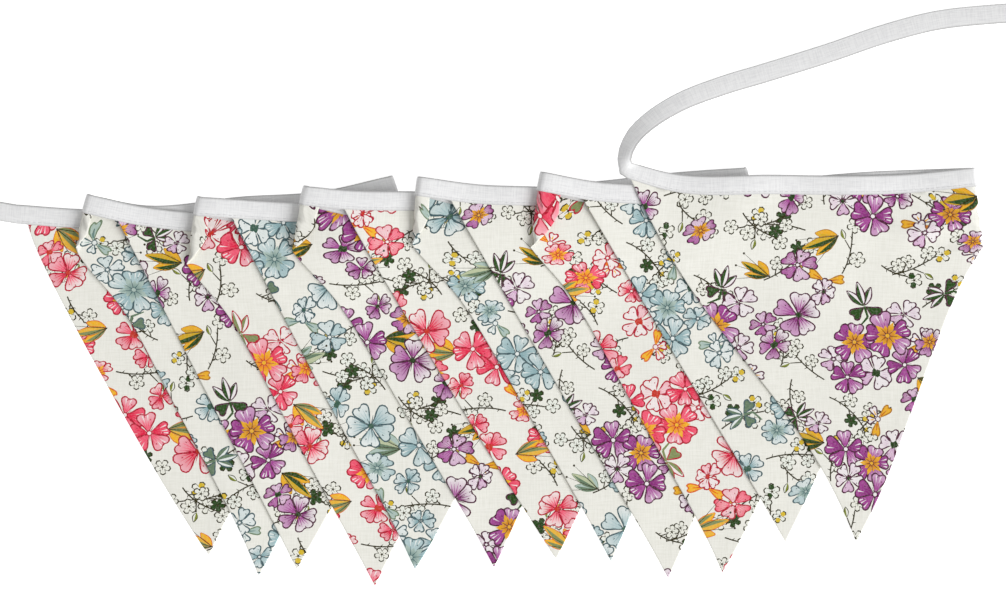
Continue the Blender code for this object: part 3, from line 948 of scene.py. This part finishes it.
class Motif:
    """Shapes drawn about one point, then turned, tilted and set in the repeat."""

    def __init__(self, x, y, turn=0.0, tilt=1.0):
        self.at = np.array((x, y), float)
        self.turn = turn
        self.tilt = tilt
        self.shapes = []

    def set_in(self, loop):
        return self.at + turned(np.asarray(loop, float) * (1.0, self.tilt), self.turn)

    def wash(self, loop, near, far=None, reach=1.0, fine=False):
        """A filled loop whose colour runs from near, at the motif's middle, to far."""
        self.shapes.append(Shape(self.set_in(loop), near, far or near, self.at, reach, fine))

    def outlined(self, loop, ink, near, far=None, reach=1.0, line=LINE):
        self.wash(loop, ink)
        self.wash(within(loop, line), near, far, reach)

    def stroke(self, start, end, ink, width=LINE, taper=0.3, fine=False):
        """A drawn line that thins towards its end."""
        start = np.asarray(start, float)
        end = np.asarray(end, float)
        aside = np.array((start[1] - end[1], end[0] - start[0]))
        aside *= width / 2 / np.linalg.norm(aside)
        loop = (start + aside, start - aside, end - aside * taper, end + aside * taper)
        self.wash(loop, ink, fine=fine)


def flower(row):
    """An outlined five-petalled flower with brushed veins, specks and a drawn heart."""
    motif = Motif(row.x, row.y, row.turn, row.tilt)
    size = row.size
    for k, (near, far) in enumerate(WASHES[row.wash]):
        angle = 72 * k + 8 * math.sin(2.1 * k + row.x)
        length = size * (1 + 0.08 * math.sin(1.7 * k + row.y))
        width = size * (0.88 + 0.1 * math.sin(2.6 * k + row.x + row.y))
        loop = turned(rounded(mirrored(PETAL, length, width)), angle)
        motif.outlined(loop, "ink", near, far, length * 0.95)
        brushed = far if near in ("white", "pale") else near
        for aside, tip in ((-0.26, 0.66), (-0.1, 0.8), (0.08, 0.7), (0.25, 0.76)):
            foot, end = turned(
                ((0.22 * length, aside * size * 0.3), (tip * length, aside * size)), angle
            )
            motif.stroke(foot, end, brushed, 0.7, 0.1, fine=True)
        for aside in (-0.26, -0.1, 0.16)[k % 3 :] if row.wash == "full" else ():
            end, foot = turned(
                ((0.88 * length, aside * size), (0.55 * length, aside * size * 0.6)), angle
            )
            motif.stroke(end, foot, "white", 0.8, 0.1, fine=True)
        for along, aside in ((0.78, 0.06), (0.6, -0.17)):
            speck = turned(((along * length, aside * size),), angle)[0]
            motif.stroke(speck, speck * 1.12, "ink", 0.55, 0.7, fine=True)
    if row.heart == "sun":
        for k in range(10):
            reach = size * (0.66 if k % 2 else 0.46)
            ray = mirrored(((0, 0), (0.6, 0.5), (1, 0)), reach, size * 0.26)
            motif.wash(turned(ray, 36 * k), "amber", "sun", size * 0.45)
        for k in range(8):
            start, end = turned(((size * 0.1, 0), (size * (0.4 + 0.12 * (k % 2)), 0)), 45 * k + 10)
            motif.stroke(start, end, "rays", 0.5, fine=True)
        motif.outlined(circle(0, 0, size * 0.12, 8), "ink", "sun", line=0.3)
    elif row.heart == "green":
        loop = circle(0, 0, size * 0.24, 10) * (1.0 + 0.3 * np.sin(np.arange(10) * 2.4))[:, None]
        motif.wash(loop, "heart")
    elif row.heart == "dark":
        for k in range(9):
            start, end = turned(((0, 0), (size * (0.5 - 0.14 * (k % 2)), 0)), 40 * k + 8)
            motif.stroke(start, end, "ink", 0.7)
        motif.wash(circle(0, 0, size * 0.12, 7), "heart")
    elif row.heart == "pearl":
        for k in range(5):
            start, end = turned(((0, 0), (size * 0.4, 0)), 72 * k + 36)
            motif.stroke(start, end, "ink", 0.55)
        motif.outlined(circle(0, 0, size * 0.14, 8), "ink", "white", line=0.45)
    else:
        for turn in (25, 140, 262):
            motif.stroke((0, 0), turned(((size * 0.34, 0),), turn)[0], "ink", 0.6)
    return motif.shapes


def leaf(motif, foot, length, width, turn, ink, light, dark, line=LINE):
    """An outlined leaf, one half of it darker than the other."""
    whole = turned(rounded(mirrored(LEAF, length, width)), turn) + foot
    half = turned(np.array(LEAF) * (length * 0.9, width * 0.8), turn) + foot
    motif.outlined(whole, ink, light, line=line)
    motif.wash(half, dark)


def rosette(row):
    """Two full dark leaves and three long half-white ones, on a bent stem."""
    motif = Motif(row.x, row.y, row.turn)
    for angle, share in ((-38, 0.8), (28, 0.9), (-4, 1.0)):
        leaf(motif, np.zeros(2), row.size * share, row.size * 0.34, angle, "ink", "white", "leaf")
    for angle, share in ((112, 0.6), (222, 0.66)):
        loop = turned(rounded(mirrored(PETAL, row.size * share, row.size * 0.5)), angle)
        motif.outlined(loop, "ink", "leaf")
        motif.wash(loop[2:6] * 0.8, "white")
    bend = turned(((row.size * 0.4, row.size * 0.08),), 165)[0]
    end = bend + turned(((row.size * 0.5, 0),), 120)[0]
    motif.stroke((0, 0), bend, "leaf", 1.4, 0.9)
    motif.stroke(bend, end, "leaf", 1.3, 0.5)
    return motif.shapes


def bud(row):
    """A yellow bud in a pair of leaves with green hearts, and a few loose stamens."""
    motif = Motif(row.x, row.y, row.turn)
    for angle, share, light, dark in (
        (-26, 0.62, "sun", "lime"),
        (22, 0.78, "sun", "leaf"),
        (0, 1.0, "lime", "leaf"),
    ):
        leaf(
            motif, np.zeros(2), row.size * share, row.size * 0.28, angle, "gilt", light, dark, 0.5
        )
    for angle in (-14, 9, 32):
        end = turned(((row.size * 1.05, 0),), angle)[0]
        motif.stroke((0, 0), end, "stem", 0.5)
        motif.wash(circle(*end, 0.7, 5), "stem")
    return motif.shapes


def bow(row):
    """A yellow blossom with two narrow golden petals and a round white middle."""
    motif = Motif(row.x, row.y, row.turn)
    for angle, share, near in (
        (20, 0.9, "white"),
        (95, 0.75, "white"),
        (-50, 1.2, "sun"),
        (165, 1.15, "sun"),
    ):
        loop = turned(rounded(mirrored(PETAL, row.size * share, row.size * 0.6)), angle)
        motif.outlined(loop, "gilt" if near == "sun" else "ink", near)
        start, end = turned(((row.size * 0.3, 0), (row.size * share * 0.7, 0)), angle)
        motif.stroke(start, end, "amber" if near == "sun" else "sun", 0.9)
    motif.outlined(circle(0, 0, row.size * 0.2, 8), "ink", "white", line=0.5)
    return motif.shapes


def blossom(motif, x, y, size, turn, kind):
    """A tiny outlined blossom on a sprig, some with a touch of green or yellow."""
    lobes = np.arange(5)[:, None] * 72 + turn + (0.0, 15.0, 36.0, 57.0)
    radius = np.tile((0.52, 0.95, 1.06, 0.95), 5)[:, None] * size
    angle = np.radians(lobes.reshape(-1, 1))
    loop = np.hstack([radius * np.cos(angle), radius * np.sin(angle)]) + (x, y)
    filled = kind == "g" and turn % 3 < 1.5
    motif.outlined(loop, "stem", "green" if filled else "bloom", line=0.72)
    touched = {"g": ((0, 2), "green"), "y": ((1, 3), "gold")}.get(kind, ((), ""))
    for k in touched[0]:
        spot = turned(((size * 0.55, 0),), turn + 36 + 72 * k)[0] + (x, y)
        motif.wash(circle(*spot, size * 0.36, 6), touched[1])
    for k in range(5):
        spot = turned(((size * 0.4, 0),), turn + 72 * k + 36)[0] + (x, y)
        motif.stroke((x, y), spot, "stem", 0.42, fine=True)
    motif.wash(circle(x, y, size * 0.15, 6), "stem")


def sprig(row):
    """A thin curling stem with short thorns, and a blossom, bud or leaf on each twig."""
    motif = Motif(row.x, row.y, row.turn)
    part = np.linspace(0.0, 1.0, 9)
    stem = np.stack([row.length * part, row.curl * row.length * part**2], -1)
    for start, end in zip(stem[:-1], stem[1:]):
        motif.stroke(start, end, "stem", 0.74, 1.0)
    for k in range(1, 8):
        thorn = stem[k] + turned(((1.9, 0),), 60 if k % 2 else -50)[0]
        motif.stroke(stem[k], thorn, "stem", 0.66)
    spots = np.linspace(8, 2, len(row.ends)).round().astype(int)
    for k, (spot, kind) in enumerate(zip(spots, row.ends)):
        aside = 0 if k == 0 else 48 if k % 2 else -44
        reach = 4.6 if k == 0 else 6.4
        end = stem[spot] + turned(((reach, 0),), aside + 40 * row.curl)[0]
        motif.stroke(stem[spot], end, "stem", 0.66, 0.8)
        if kind == "l":
            leaf(motif, end, 6.4, 3.2, aside, "stem", "bloom", "olive", 0.5)
        else:
            blossom(motif, *end, 4.3 + 0.4 * math.sin(row.x + k), 40 * k + row.x, kind)
    return motif.shapes


def make_repeat():
    """Every shape of the repeat in the order in which it is printed."""
    shapes = []
    for row in SPRIGS:
        shapes += sprig(row)
    for row in BUDS:
        shapes += bud(row)
    for row in ROSETTES:
        shapes += rosette(row)
    for row in BOWS:
        shapes += bow(row)
    for row in FLOWERS:
        shapes += flower(row)
    return shapes


REPEAT = make_repeat()

# ---------------------------------------------------------------------------------------------
# Pennants. Each is two triangles of the printed cotton, sewn face to face along their two long
# sides, turned out and pressed, and held by its raw top edge in the binding.

HELD_DEPTH = 4.2
CLEAR = 0.3
HELD_HALF = 0.28
FULL_HALF = 0.5
MIDDLE_HALF = 0.36
EDGE_REACH = 0.8
ON_EDGE = 0.01
CUT_MARGIN = 0.1
CUT_NEAR = 1e-4
STRAIGHT = 0.03
ALLOWANCE = (5.4, 7.4)
BESIDE_LINES = (0.15, 0.4, 0.8, 5.4, 7.4)
GRID = 6.0
SIDE_STEP = 5.0

# Where each pennant is cut from the repeat: the cut's turn and the place in the repeat that
# comes to the pennant's tip.
CutRow = namedtuple("CutRow", "turn x y")
CUTS = {
    1: CutRow(0, 60, -20),
    2: CutRow(180, 130, 40),
    3: CutRow(0, 150, 30),
    4: CutRow(0, 20, 60),
    5: CutRow(180, 30, 120),
    6: CutRow(0, 100, 80),
    7: CutRow(180, 150, 90),
    8: CutRow(0, 70, 100),
    9: CutRow(0, 130, 120),
    10: CutRow(180, 80, 30),
    11: CutRow(0, 180, 60),
    12: CutRow(0, 110, -8),
}


def corner_spread(fold, level, corner_x, inside):
    """Where a folded-over corner lies, spread out flat."""
    along, beyond = fold.split(lower_edge(level, np.array([corner_x]), inside))
    spread = math.pi * fold_radius(fold, along) - beyond
    return fold.at(along)[0] + spread[0] * fold.out


def top_line(run, inside):
    """A pennant's flat top edge, from its left corner to its right one."""
    row = PENNANTS[run]
    left, right = run_folds(run)
    if run % 2:
        return lower_edge(run, np.linspace(row.left_x, row.right_x, 40), inside)
    left_x = FOLDS[left].x if left else row.left_x
    middle = lower_edge(run, np.linspace(left_x, FOLDS[right].x, 34), inside)
    end = corner_spread(FOLD[right], run - 1, row.right_x, inside)
    ends = [middle[-1] * (1 - part) + end * part for part in (0.25, 0.5, 0.75, 1.0)]
    if not left:
        return np.array([*middle, *ends])
    start = corner_spread(FOLD[left], run + 1, row.left_x, inside)
    starts = [start * (1 - part) + middle[0] * part for part in (0.0, 0.25, 0.5, 0.75)]
    return np.array([*starts, *middle, *ends])


def divided(start, end, step):
    """Points from start towards end, without the end itself."""
    count = max(round(np.linalg.norm(end - start) / step), 1)
    part = np.arange(count)[:, None] / count
    return start * (1 - part) + end * part


class CutCloth:
    """A pennant's flat outline, with how far points lie in from its sides and its top."""

    def __init__(self, run):
        self.top = top_line(run, HELD_DEPTH)
        self.edge = top_line(run, 0.0)
        self.tip = np.array((PENNANTS[run].tip_x, PENNANTS[run].tip_y))
        self.corners = (self.top[0], self.top[-1])
        self.ways = [self.tip - corner for corner in self.corners]
        self.ways = [way / np.linalg.norm(way) for way in self.ways]
        left, right = self.ways
        self.inward = (np.array((-left[1], left[0])), np.array((right[1], -right[0])))

    def outline(self):
        left = divided(self.tip, self.corners[0], SIDE_STEP)
        right = divided(self.corners[1], self.tip, SIDE_STEP)
        return np.vstack([left, self.top[:-1], right])

    def from_sides(self, point):
        return [(point - corner) @ way for corner, way in zip(self.corners, self.inward)]

    def below_tape(self, point):
        return np.interp(point[:, 0], self.edge[:, 0], self.edge[:, 1]) - point[:, 1]

    def below_top(self, point):
        return np.interp(point[:, 0], self.top[:, 0], self.top[:, 1]) - point[:, 1]

    def beside(self, side, distance):
        """A line along one side, that far in from it."""
        other = 1 - side
        start = self.corners[side] + distance * self.inward[side]
        gap = (self.corners[other] + distance * self.inward[other] - start) @ self.inward[other]
        meet = start + self.ways[side] * gap / (self.ways[side] @ self.inward[other])
        return np.vstack([divided(start, meet, SIDE_STEP), meet])

    def kept_in(self, point):
        """The points, with those beyond the outline brought back just inside it."""
        for side, other in ((0, 1), (1, 0)):
            short = np.maximum(CUT_MARGIN - self.from_sides(point)[side], 0.0)
            slide = self.ways[other] / (self.ways[other] @ self.inward[side])
            point = point + short[:, None] * slide
        over = np.maximum(CUT_MARGIN - self.below_top(point), 0.0)
        return point - over[:, None] * (0.0, 1.0)

    def area(self):
        x, y = self.outline().T
        return abs(np.sum(x * np.roll(y, -1) - y * np.roll(x, -1))) / 2


def half_thickness(cut, point):
    """Half of the two cloths' thickness: round at the seams, fuller over the seam allowances."""
    sides = np.minimum(*cut.from_sides(point))
    sides = np.minimum(sides, cut.below_top(point))
    sides = np.where(sides < ON_EDGE, 0.0, sides)
    part = np.minimum(sides / EDGE_REACH, 1.0)
    rim = np.sqrt(1.0 - (1.0 - part) ** 2)
    hem = smooth_fall(sides - ALLOWANCE[0], ALLOWANCE[1] - ALLOWANCE[0])
    open_half = MIDDLE_HALF + (FULL_HALF - MIDDLE_HALF) * hem
    free = np.clip((cut.below_tape(point) - CLEAR) / (HELD_DEPTH - CLEAR), 0.0, 1.0)
    return rim * (HELD_HALF + (open_half - HELD_HALF) * free)


# How far each pennant's two sides curve outwards along their length, and how far its left side
# sways: outwards in its upper half and inwards in its lower one. A shoulder is the fullness of a
# folded corner just below the tape.
SideRow = namedtuple("SideRow", "left right sway left_shoulder right_shoulder")
SIDES = {
    1: SideRow(4.4, 3.4, 0.0, 0.0, 0.0),
    2: SideRow(-1.5, 3.6, 0.0, 9.0, 4.0),
    3: SideRow(0.0, 1.4, 0.0, 0.0, 0.0),
    4: SideRow(1.2, 2.2, 0.0, 9.0, 4.0),
    5: SideRow(0.0, 4.2, 0.0, 0.0, 0.0),
    6: SideRow(0.0, 2.6, 0.0, 9.0, 4.0),
    7: SideRow(1.8, 2.6, 0.0, 0.0, 0.0),
    8: SideRow(-1.0, 0.4, 0.0, 9.0, 4.0),
    9: SideRow(0.0, 2.0, 0.0, 0.0, 0.0),
    10: SideRow(-0.8, 4.6, 0.0, 9.0, 4.0),
    11: SideRow(0.0, 2.0, 0.0, 0.0, 0.0),
    12: SideRow(-0.6, 2.8, 4.4, 0.0, 7.0),
}
SHOULDER_AT = 0.12
SHOULDER_REACH = 0.13
SIDE_REACH = 45.0
SIDE_START = 8.0


def curved(cut, run, point):
    """The flat cloth's points with its straight sides drawn out into their curves."""
    row = SIDES[run]
    free = np.clip((cut.below_tape(point) + 2.0) / SIDE_START, 0.0, 1.0)
    moved = point.copy()
    sides = ((0, row.left, row.sway, row.left_shoulder), (1, row.right, 0.0, row.right_shoulder))
    for side, outwards, sway, shoulder in sides:
        length = np.linalg.norm(cut.tip - cut.corners[side])
        share = np.clip((point - cut.corners[side]) @ cut.ways[side] / length, 0.0, 1.0)
        out = outwards * (1.0 - (2.0 * share - 1.0) ** 4) + sway * np.sin(2 * math.pi * share)
        out += shoulder * np.exp(-(((share - SHOULDER_AT) / SHOULDER_REACH) ** 2))
        near = np.exp(-((cut.from_sides(point)[side] / SIDE_REACH) ** 2))
        moved -= (out * near * free)[:, None] * cut.inward[side]
    return moved


# Slack that the cloth keeps where nothing holds it down: the middle of each soft ridge or dent,
# its turn, its length and width, and how far it rises.
WAVE_RISE = 0.09
SlackRow = namedtuple("SlackRow", "run x y turn length width rise")
SLACK = (
    SlackRow(12, 243, 44, 28, 26, 6.5, 1.2),
    SlackRow(12, 250, 30, 55, 20, 7.5, 0.8),
    SlackRow(12, 230, 38, 10, 26, 5.0, 0.9),
    SlackRow(12, 215, 20, 70, 40, 9.0, 0.5),
    SlackRow(12, 150, -10, 60, 60, 14.0, 0.4),
    SlackRow(12, 180, -60, 80, 50, 12.0, 0.35),
    SlackRow(12, 110, 30, 40, 40, 10.0, 0.4),
)


def slack(cut, run, point):
    """How far the cloth rises or sinks where it lies slack, in broad soft waves."""
    across = turned(point, 24 + 31 * run)
    waves = np.sin(across[:, 0] / 7.1 + run) * np.sin(across[:, 1] / 12.7 + 2 * run)
    waves += 0.6 * np.sin(across[:, 1] / 5.3 + 3 * run)
    free = np.clip((cut.below_tape(point) - 3.0) / 15.0, 0.0, 1.0)
    rise = WAVE_RISE * waves * free
    for row in SLACK:
        if row.run != run:
            continue
        along, aside = turned(point - (row.x, row.y), -row.turn).T
        rise += row.rise * np.exp(-((along / row.length) ** 2) - (aside / row.width) ** 2)
    return rise


def shapes_on(cut, run, fine):
    """The repeat's shapes that fall on a pennant, moved to where it is cut."""
    row = CUTS[run]
    repeat = [shape for shape in REPEAT if fine or not shape.fine]
    middles = np.array([shape.loop.mean(0) for shape in repeat])
    sizes = np.array([np.linalg.norm(np.ptp(shape.loop, axis=0)) for shape in repeat]) / 2
    found = []
    for column in range(-3, 4):
        for line in range(-3, 4):
            shift = np.array((column * REPEAT_WIDE, (line + 0.5 * (column % 2)) * REPEAT_HIGH))
            shift -= (row.x, row.y)
            spots = turned(middles + shift, row.turn) + cut.tip
            inside = np.minimum(np.minimum(*cut.from_sides(spots)), cut.below_top(spots)) + sizes
            for k in np.flatnonzero(inside > 0.0):
                loop, centre = (
                    turned(points + shift, row.turn) + cut.tip
                    for points in (repeat[k].loop, repeat[k].centre)
                )
                found.append(repeat[k]._replace(loop=loop, centre=centre))
    return found


def fold_lines(run):
    """Lines along which a pennant's corners bend, so that the bend comes out round."""
    lines = []
    if run % 2:
        return lines
    folds = [FOLD[run - 1]] + ([FOLD[run]] if run != LAST else [])
    for fold in folds:
        along = np.arange(-60.0, TAPE_HALF + 1, SIDE_STEP)
        radius = fold_radius(fold, along)
        for step in range(-1, 10):
            lines.append(fold.at(along) + (step / 8 * math.pi * radius)[:, None] * fold.out)
    return lines


def arrange(cut, run, fine):
    """The flat cloth cut along every printed line: its spots, triangles, top shapes, shapes."""
    outline = cut.outline()
    points = outline.tolist()
    faces = [list(range(len(points)))[::-1]]
    shapes = shapes_on(cut, run, fine)
    for shape in shapes:
        indices = list(range(len(points), len(points) + len(shape.loop)))
        points += shape.loop.tolist()
        after = np.roll(shape.loop, -1, axis=0)
        leftwards = np.sum(shape.loop[:, 0] * after[:, 1] - after[:, 0] * shape.loop[:, 1]) > 0
        faces.append(indices if leftwards else indices[::-1])
    spots, _, triangles, _, _, sources = delaunay_2d_cdt(points, [], faces, 0, CUT_NEAR, True)
    kept = [k for k, source in enumerate(sources) if 0 in source]
    ground = Shape(outline, "ground", "ground", cut.tip, 1.0, False)
    return (
        np.array([tuple(spot) for spot in spots]),
        np.array([triangles[k] for k in kept]),
        np.array([max(sources[k]) for k in kept]),
        [ground, *shapes],
    )


def printed_lines(spots, triangles, top_shape, shapes):
    """Where the printed colour changes, as pairs of spots, and the spots round the rim."""
    codes = {}
    for k, shape in enumerate(shapes):
        codes.setdefault(shape.near if shape.near == shape.far else k, len(codes))
    code = np.array(
        [codes[shape.near if shape.near == shape.far else k] for k, shape in enumerate(shapes)]
    )
    sides = np.sort(np.vstack([triangles[:, pair] for pair in ((0, 1), (1, 2), (2, 0))]), axis=1)
    owner = np.tile(code[top_shape], 3)
    order = np.lexsort((owner, sides[:, 1], sides[:, 0]))
    sides, owner = sides[order], owner[order]
    paired = (sides[1:] == sides[:-1]).all(1)
    lines = sides[:-1][paired & (owner[1:] != owner[:-1])]
    single = ~(np.append(paired, False) | np.insert(paired, 0, False))
    return straightened(spots, lines), np.unique(sides[single])


def straightened(spots, lines):
    """The lines with spots left out where they run straight on."""
    meets = {}
    for first, second in lines.tolist():
        meets.setdefault(first, set()).add(second)
        meets.setdefault(second, set()).add(first)
    for spot in list(meets):
        if len(meets[spot]) != 2:
            continue
        first, second = meets[spot]
        way = spots[second] - spots[first]
        aside = spots[spot] - spots[first]
        long = math.hypot(*way)
        bowed = abs(way[0] * aside[1] - way[1] * aside[0]) > STRAIGHT * long
        if bowed or long > SIDE_STEP or second in meets[first]:
            continue
        meets[first].remove(spot)
        meets[second].remove(spot)
        meets[first].add(second)
        meets[second].add(first)
        del meets[spot]
    return [(first, second) for first in meets for second in meets[first] if first < second]


def shared_rim(outline, rims):
    """The outline's points with every spot on it that either face's printed lines reach."""
    points = np.vstack([outline, *rims])
    ends = np.roll(outline, -1, axis=0)
    ways = ends - outline
    lengths = np.linalg.norm(ways, axis=1)
    offset = points[:, None] - outline
    along = np.clip((offset * ways).sum(2) / lengths**2, 0.0, 1.0)
    away = np.linalg.norm(offset - along[..., None] * ways, axis=2)
    segment = np.argmin(away, axis=1)
    at = segment + along[np.arange(len(points)), segment]
    at[: len(outline)] = np.arange(len(outline))
    order = np.argsort(at)
    points = points[order]
    apart = np.linalg.norm(points - np.roll(points, 1, axis=0), axis=1) > 2 * CUT_NEAR
    return points[apart]


def lay_out(cut, run, arranged, lines, rim):
    """Triangles small enough to drape, cut along the printed lines, and their top shapes."""
    spots, triangles, top_shape, _ = arranged
    points = rim.tolist()
    faces = [list(range(len(points)))[::-1]]
    used, numbered = np.unique(np.array(lines), return_inverse=True)
    edges = (numbered.reshape(-1, 2) + len(points)).tolist()
    points += spots[used].tolist()
    helpers = [cut.beside(side, distance) for distance in BESIDE_LINES for side in (0, 1)]
    for line in [*helpers, *fold_lines(run)]:
        edges += [(len(points) + k, len(points) + k + 1) for k in range(len(line) - 1)]
        points += cut.kept_in(line).tolist()
    low, high = rim.min(0), rim.max(0)
    for j, y in enumerate(np.arange(low[1], high[1], GRID * 0.87)):
        x = np.arange(low[0], high[0], GRID) + (j % 2) * GRID / 2
        row = np.column_stack([x, np.full_like(x, y)])
        inside = np.minimum(np.minimum(*cut.from_sides(row)), cut.below_top(row)) > 2.0
        points += row[inside].tolist()
    found = BVHTree.FromPolygons([(*spot, 0.0) for spot in spots], triangles.tolist())
    spots, _, triangles, _, _, sources = delaunay_2d_cdt(points, edges, faces, 0, CUT_NEAR, True)
    spots = np.array([tuple(spot) for spot in spots])
    triangles = np.array([triangle for triangle, source in zip(triangles, sources) if source])
    middles = spots[triangles].mean(1)
    top_shape = top_shape[[found.find_nearest((*middle, 0.0))[2] for middle in middles]]
    used, numbered = np.unique(triangles, return_inverse=True)
    return spots[used], numbered.reshape(triangles.shape), top_shape


def print_colours(spots, triangles, top_shape, shapes, colourway):
    """The printed colour at each triangle's corners."""
    inks = {name: linear(*colour) for name, colour in {**SHARED, **COLOURWAYS[colourway]}.items()}
    near = np.array([inks[shape.near] for shape in shapes])[top_shape][:, None]
    far = np.array([inks[shape.far] for shape in shapes])[top_shape][:, None]
    centre = np.array([shape.centre for shape in shapes])[top_shape][:, None]
    reach = np.array([shape.reach for shape in shapes])[top_shape][:, None]
    share = np.linalg.norm(spots[triangles] - centre, axis=2) / reach
    share = np.clip(share, 0.0, 1.0)[..., None]
    return near * (1 - share) + far * share


def make_pennant(run):
    cut = CutCloth(run)
    faces = [arrange(cut, run, fine) for fine in (True, False)]
    lines, rims = zip(*(printed_lines(*face) for face in faces))
    rim = shared_rim(cut.outline(), [face[0][on_rim] for face, on_rim in zip(faces, rims)])
    cloth_spots = []
    spots = []
    triangles = []
    colours = []
    for side, face, printed in zip((1, -1), faces, lines):
        flat, corners, top_shape = lay_out(cut, run, face, printed, rim)
        dye = print_colours(flat, corners, top_shape, face[3], PENNANTS[run].cloth)
        spread = curved(cut, run, flat)
        middle = laid(run, spread)
        middle[:, 2] += slack(cut, run, flat)
        half = half_thickness(cut, flat)[:, None]
        start = sum(map(len, spots))
        cloth_spots.append(flat)
        spots.append(middle + side * half * laid_normal(run, spread))
        triangles.append(corners[:, ::side] + start)
        colours.append(dye[:, ::side])
    cloth_spots = np.vstack(cloth_spots)
    triangles = np.vstack(triangles)
    colours = np.vstack(colours).reshape(-1, 3)
    mesh = bpy.data.meshes.new(f"pennant_{run:02d}_cloth")
    mesh.from_pydata(in_row_frame(np.vstack(spots)).tolist(), [], triangles.tolist())
    dyed = mesh.color_attributes.new("print", "FLOAT_COLOR", "CORNER")
    dyed.data.foreach_set("color", np.column_stack([colours, np.ones(len(colours))]).ravel())
    cloth = mesh.uv_layers.new(name="cloth")
    cloth.data.foreach_set("uv", ((cloth_spots[triangles.ravel()] - cut.tip) * MM).ravel())
    bm = bmesh.new()
    bm.from_mesh(mesh)
    rim = [vertex for vertex in bm.verts if vertex.is_boundary]
    bmesh.ops.remove_doubles(bm, verts=rim, dist=1e-6)
    bm.to_mesh(mesh)
    bm.free()
    mesh.shade_smooth()
    pennant = bpy.data.objects.new(mesh.name, mesh)
    bpy.context.scene.collection.objects.link(pennant)
    # The needle-thin triangles beside printed lines would otherwise spoil the soft shading.
    pennant.modifiers.new("shaded by area", "WEIGHTED_NORMAL").mode = "FACE_AREA"
    return pennant, cut


CLOTH_THREADS = 1300.0


def make_cotton(name):
    material, shader, wire = new_material(name, 0.9, 0.08)
    cloth = wire.node("ShaderNodeUVMap", {"uv_map": "cloth"}, {})
    dyed = wire.node("ShaderNodeVertexColor", {"layer_name": "print"}, {})
    warp, weft = threads(wire, cloth, CLOTH_THREADS)
    weave = warp * 0.5 + weft * 0.5
    shading = wire.node(
        "ShaderNodeMapRange",
        {},
        {"Value": weave, "From Min": 0.3, "From Max": 0.66, "To Min": 0.0, "To Max": 1.0},
    )
    darker = wire.node(
        "ShaderNodeMix",
        {"data_type": "RGBA", "blend_type": "MULTIPLY"},
        {0: 1.0, 6: dyed, 7: (0.9, 0.9, 0.885, 1.0)},
        2,
    )
    colour = wire.node(
        "ShaderNodeMix",
        {"data_type": "RGBA"},
        {0: shading, 6: darker, 7: dyed},
        2,
    )
    pools = wire.node(
        "ShaderNodeTexNoise",
        {"noise_dimensions": "2D"},
        {"Vector": cloth, "Scale": 900.0, "Detail": 3.0},
    )
    dry = wire.node(
        "ShaderNodeMapRange",
        {},
        {"Value": pools, "From Min": 0.45, "From Max": 0.75, "To Min": 0.0, "To Max": 0.1},
    )
    colour = wire.node(
        "ShaderNodeMix",
        {"data_type": "RGBA"},
        {0: dry, 6: colour, 7: (*linear(*GROUND), 1.0)},
        2,
    )
    bump = wire.node(
        "ShaderNodeBump",
        {},
        {"Strength": 0.3, "Distance": 0.00012, "Height": weave},
    )
    tree = material.node_tree
    tree.links.new(colour.socket, shader.inputs["Base Color"])
    tree.links.new(bump.socket, shader.inputs["Normal"])
    return material


cottons = {colourway: make_cotton(f"{colourway} floral cotton") for colourway in COLOURWAYS}
for run, row in PENNANTS.items():
    pennant, cut = make_pennant(run)
    pennant.data.materials.append(cottons[row.cloth])
    wide = np.linalg.norm(cut.corners[1] - cut.corners[0])
    deep = 2 * cut.area() / wide
    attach(pennant, "root")
    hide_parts(f"pennant_{run:02d}")
    cut.area() * MM * MM

# ---------------------------------------------------------------------------------------------
# Studio. A white table, one soft window light from the lower right with even light from all
# round, and a camera straight above the bundle.

floor_mesh = bpy.data.meshes.new("table")
bm = bmesh.new()
bmesh.ops.create_grid(bm, x_segments=1, y_segments=1, size=3.0)
bm.to_mesh(floor_mesh)
bm.free()
floor = bpy.data.objects.new("table", floor_mesh)
bpy.context.scene.collection.objects.link(floor)
white, shader, wire = new_material("white table", 0.8, 0.0)
shader.inputs["Base Color"].default_value = (0.96, 0.96, 0.96, 1.0)
shader.inputs["Emission Color"].default_value = (1.0, 1.0, 1.0, 1.0)
shader.inputs["Emission Strength"].default_value = 0.6
floor.data.materials.append(white)
floor.location.z = -0.0002

lamp = bpy.data.lights.new("window light", "SUN")
lamp.angle = 0.7
lamp.energy = 2.5
light = bpy.data.objects.new("window light", lamp)
light.rotation_euler = (math.radians(54), 0.0, math.radians(62))
bpy.context.scene.collection.objects.link(light)

world = bpy.data.worlds.new("studio")
world.use_nodes = True
world.node_tree.nodes["Background"].inputs["Color"].default_value = (1.0, 1.0, 1.0, 1.0)
world.node_tree.nodes["Background"].inputs["Strength"].default_value = 0.46
bpy.context.scene.world = world
bpy.context.scene.view_settings.view_transform = "Standard"

VIEW_WIDE = 0.5589
CAMERA_UP = 1.3
SENSOR = 36.0
camera = bpy.data.objects.new("camera", bpy.data.cameras.new("camera"))
camera.data.sensor_width = SENSOR
camera.data.lens = SENSOR * CAMERA_UP / VIEW_WIDE
camera.location = (-MIDDLE_X * MM, -MIDDLE_Y * MM, CAMERA_UP)
bpy.context.scene.collection.objects.link(camera)
bpy.context.scene.camera = camera
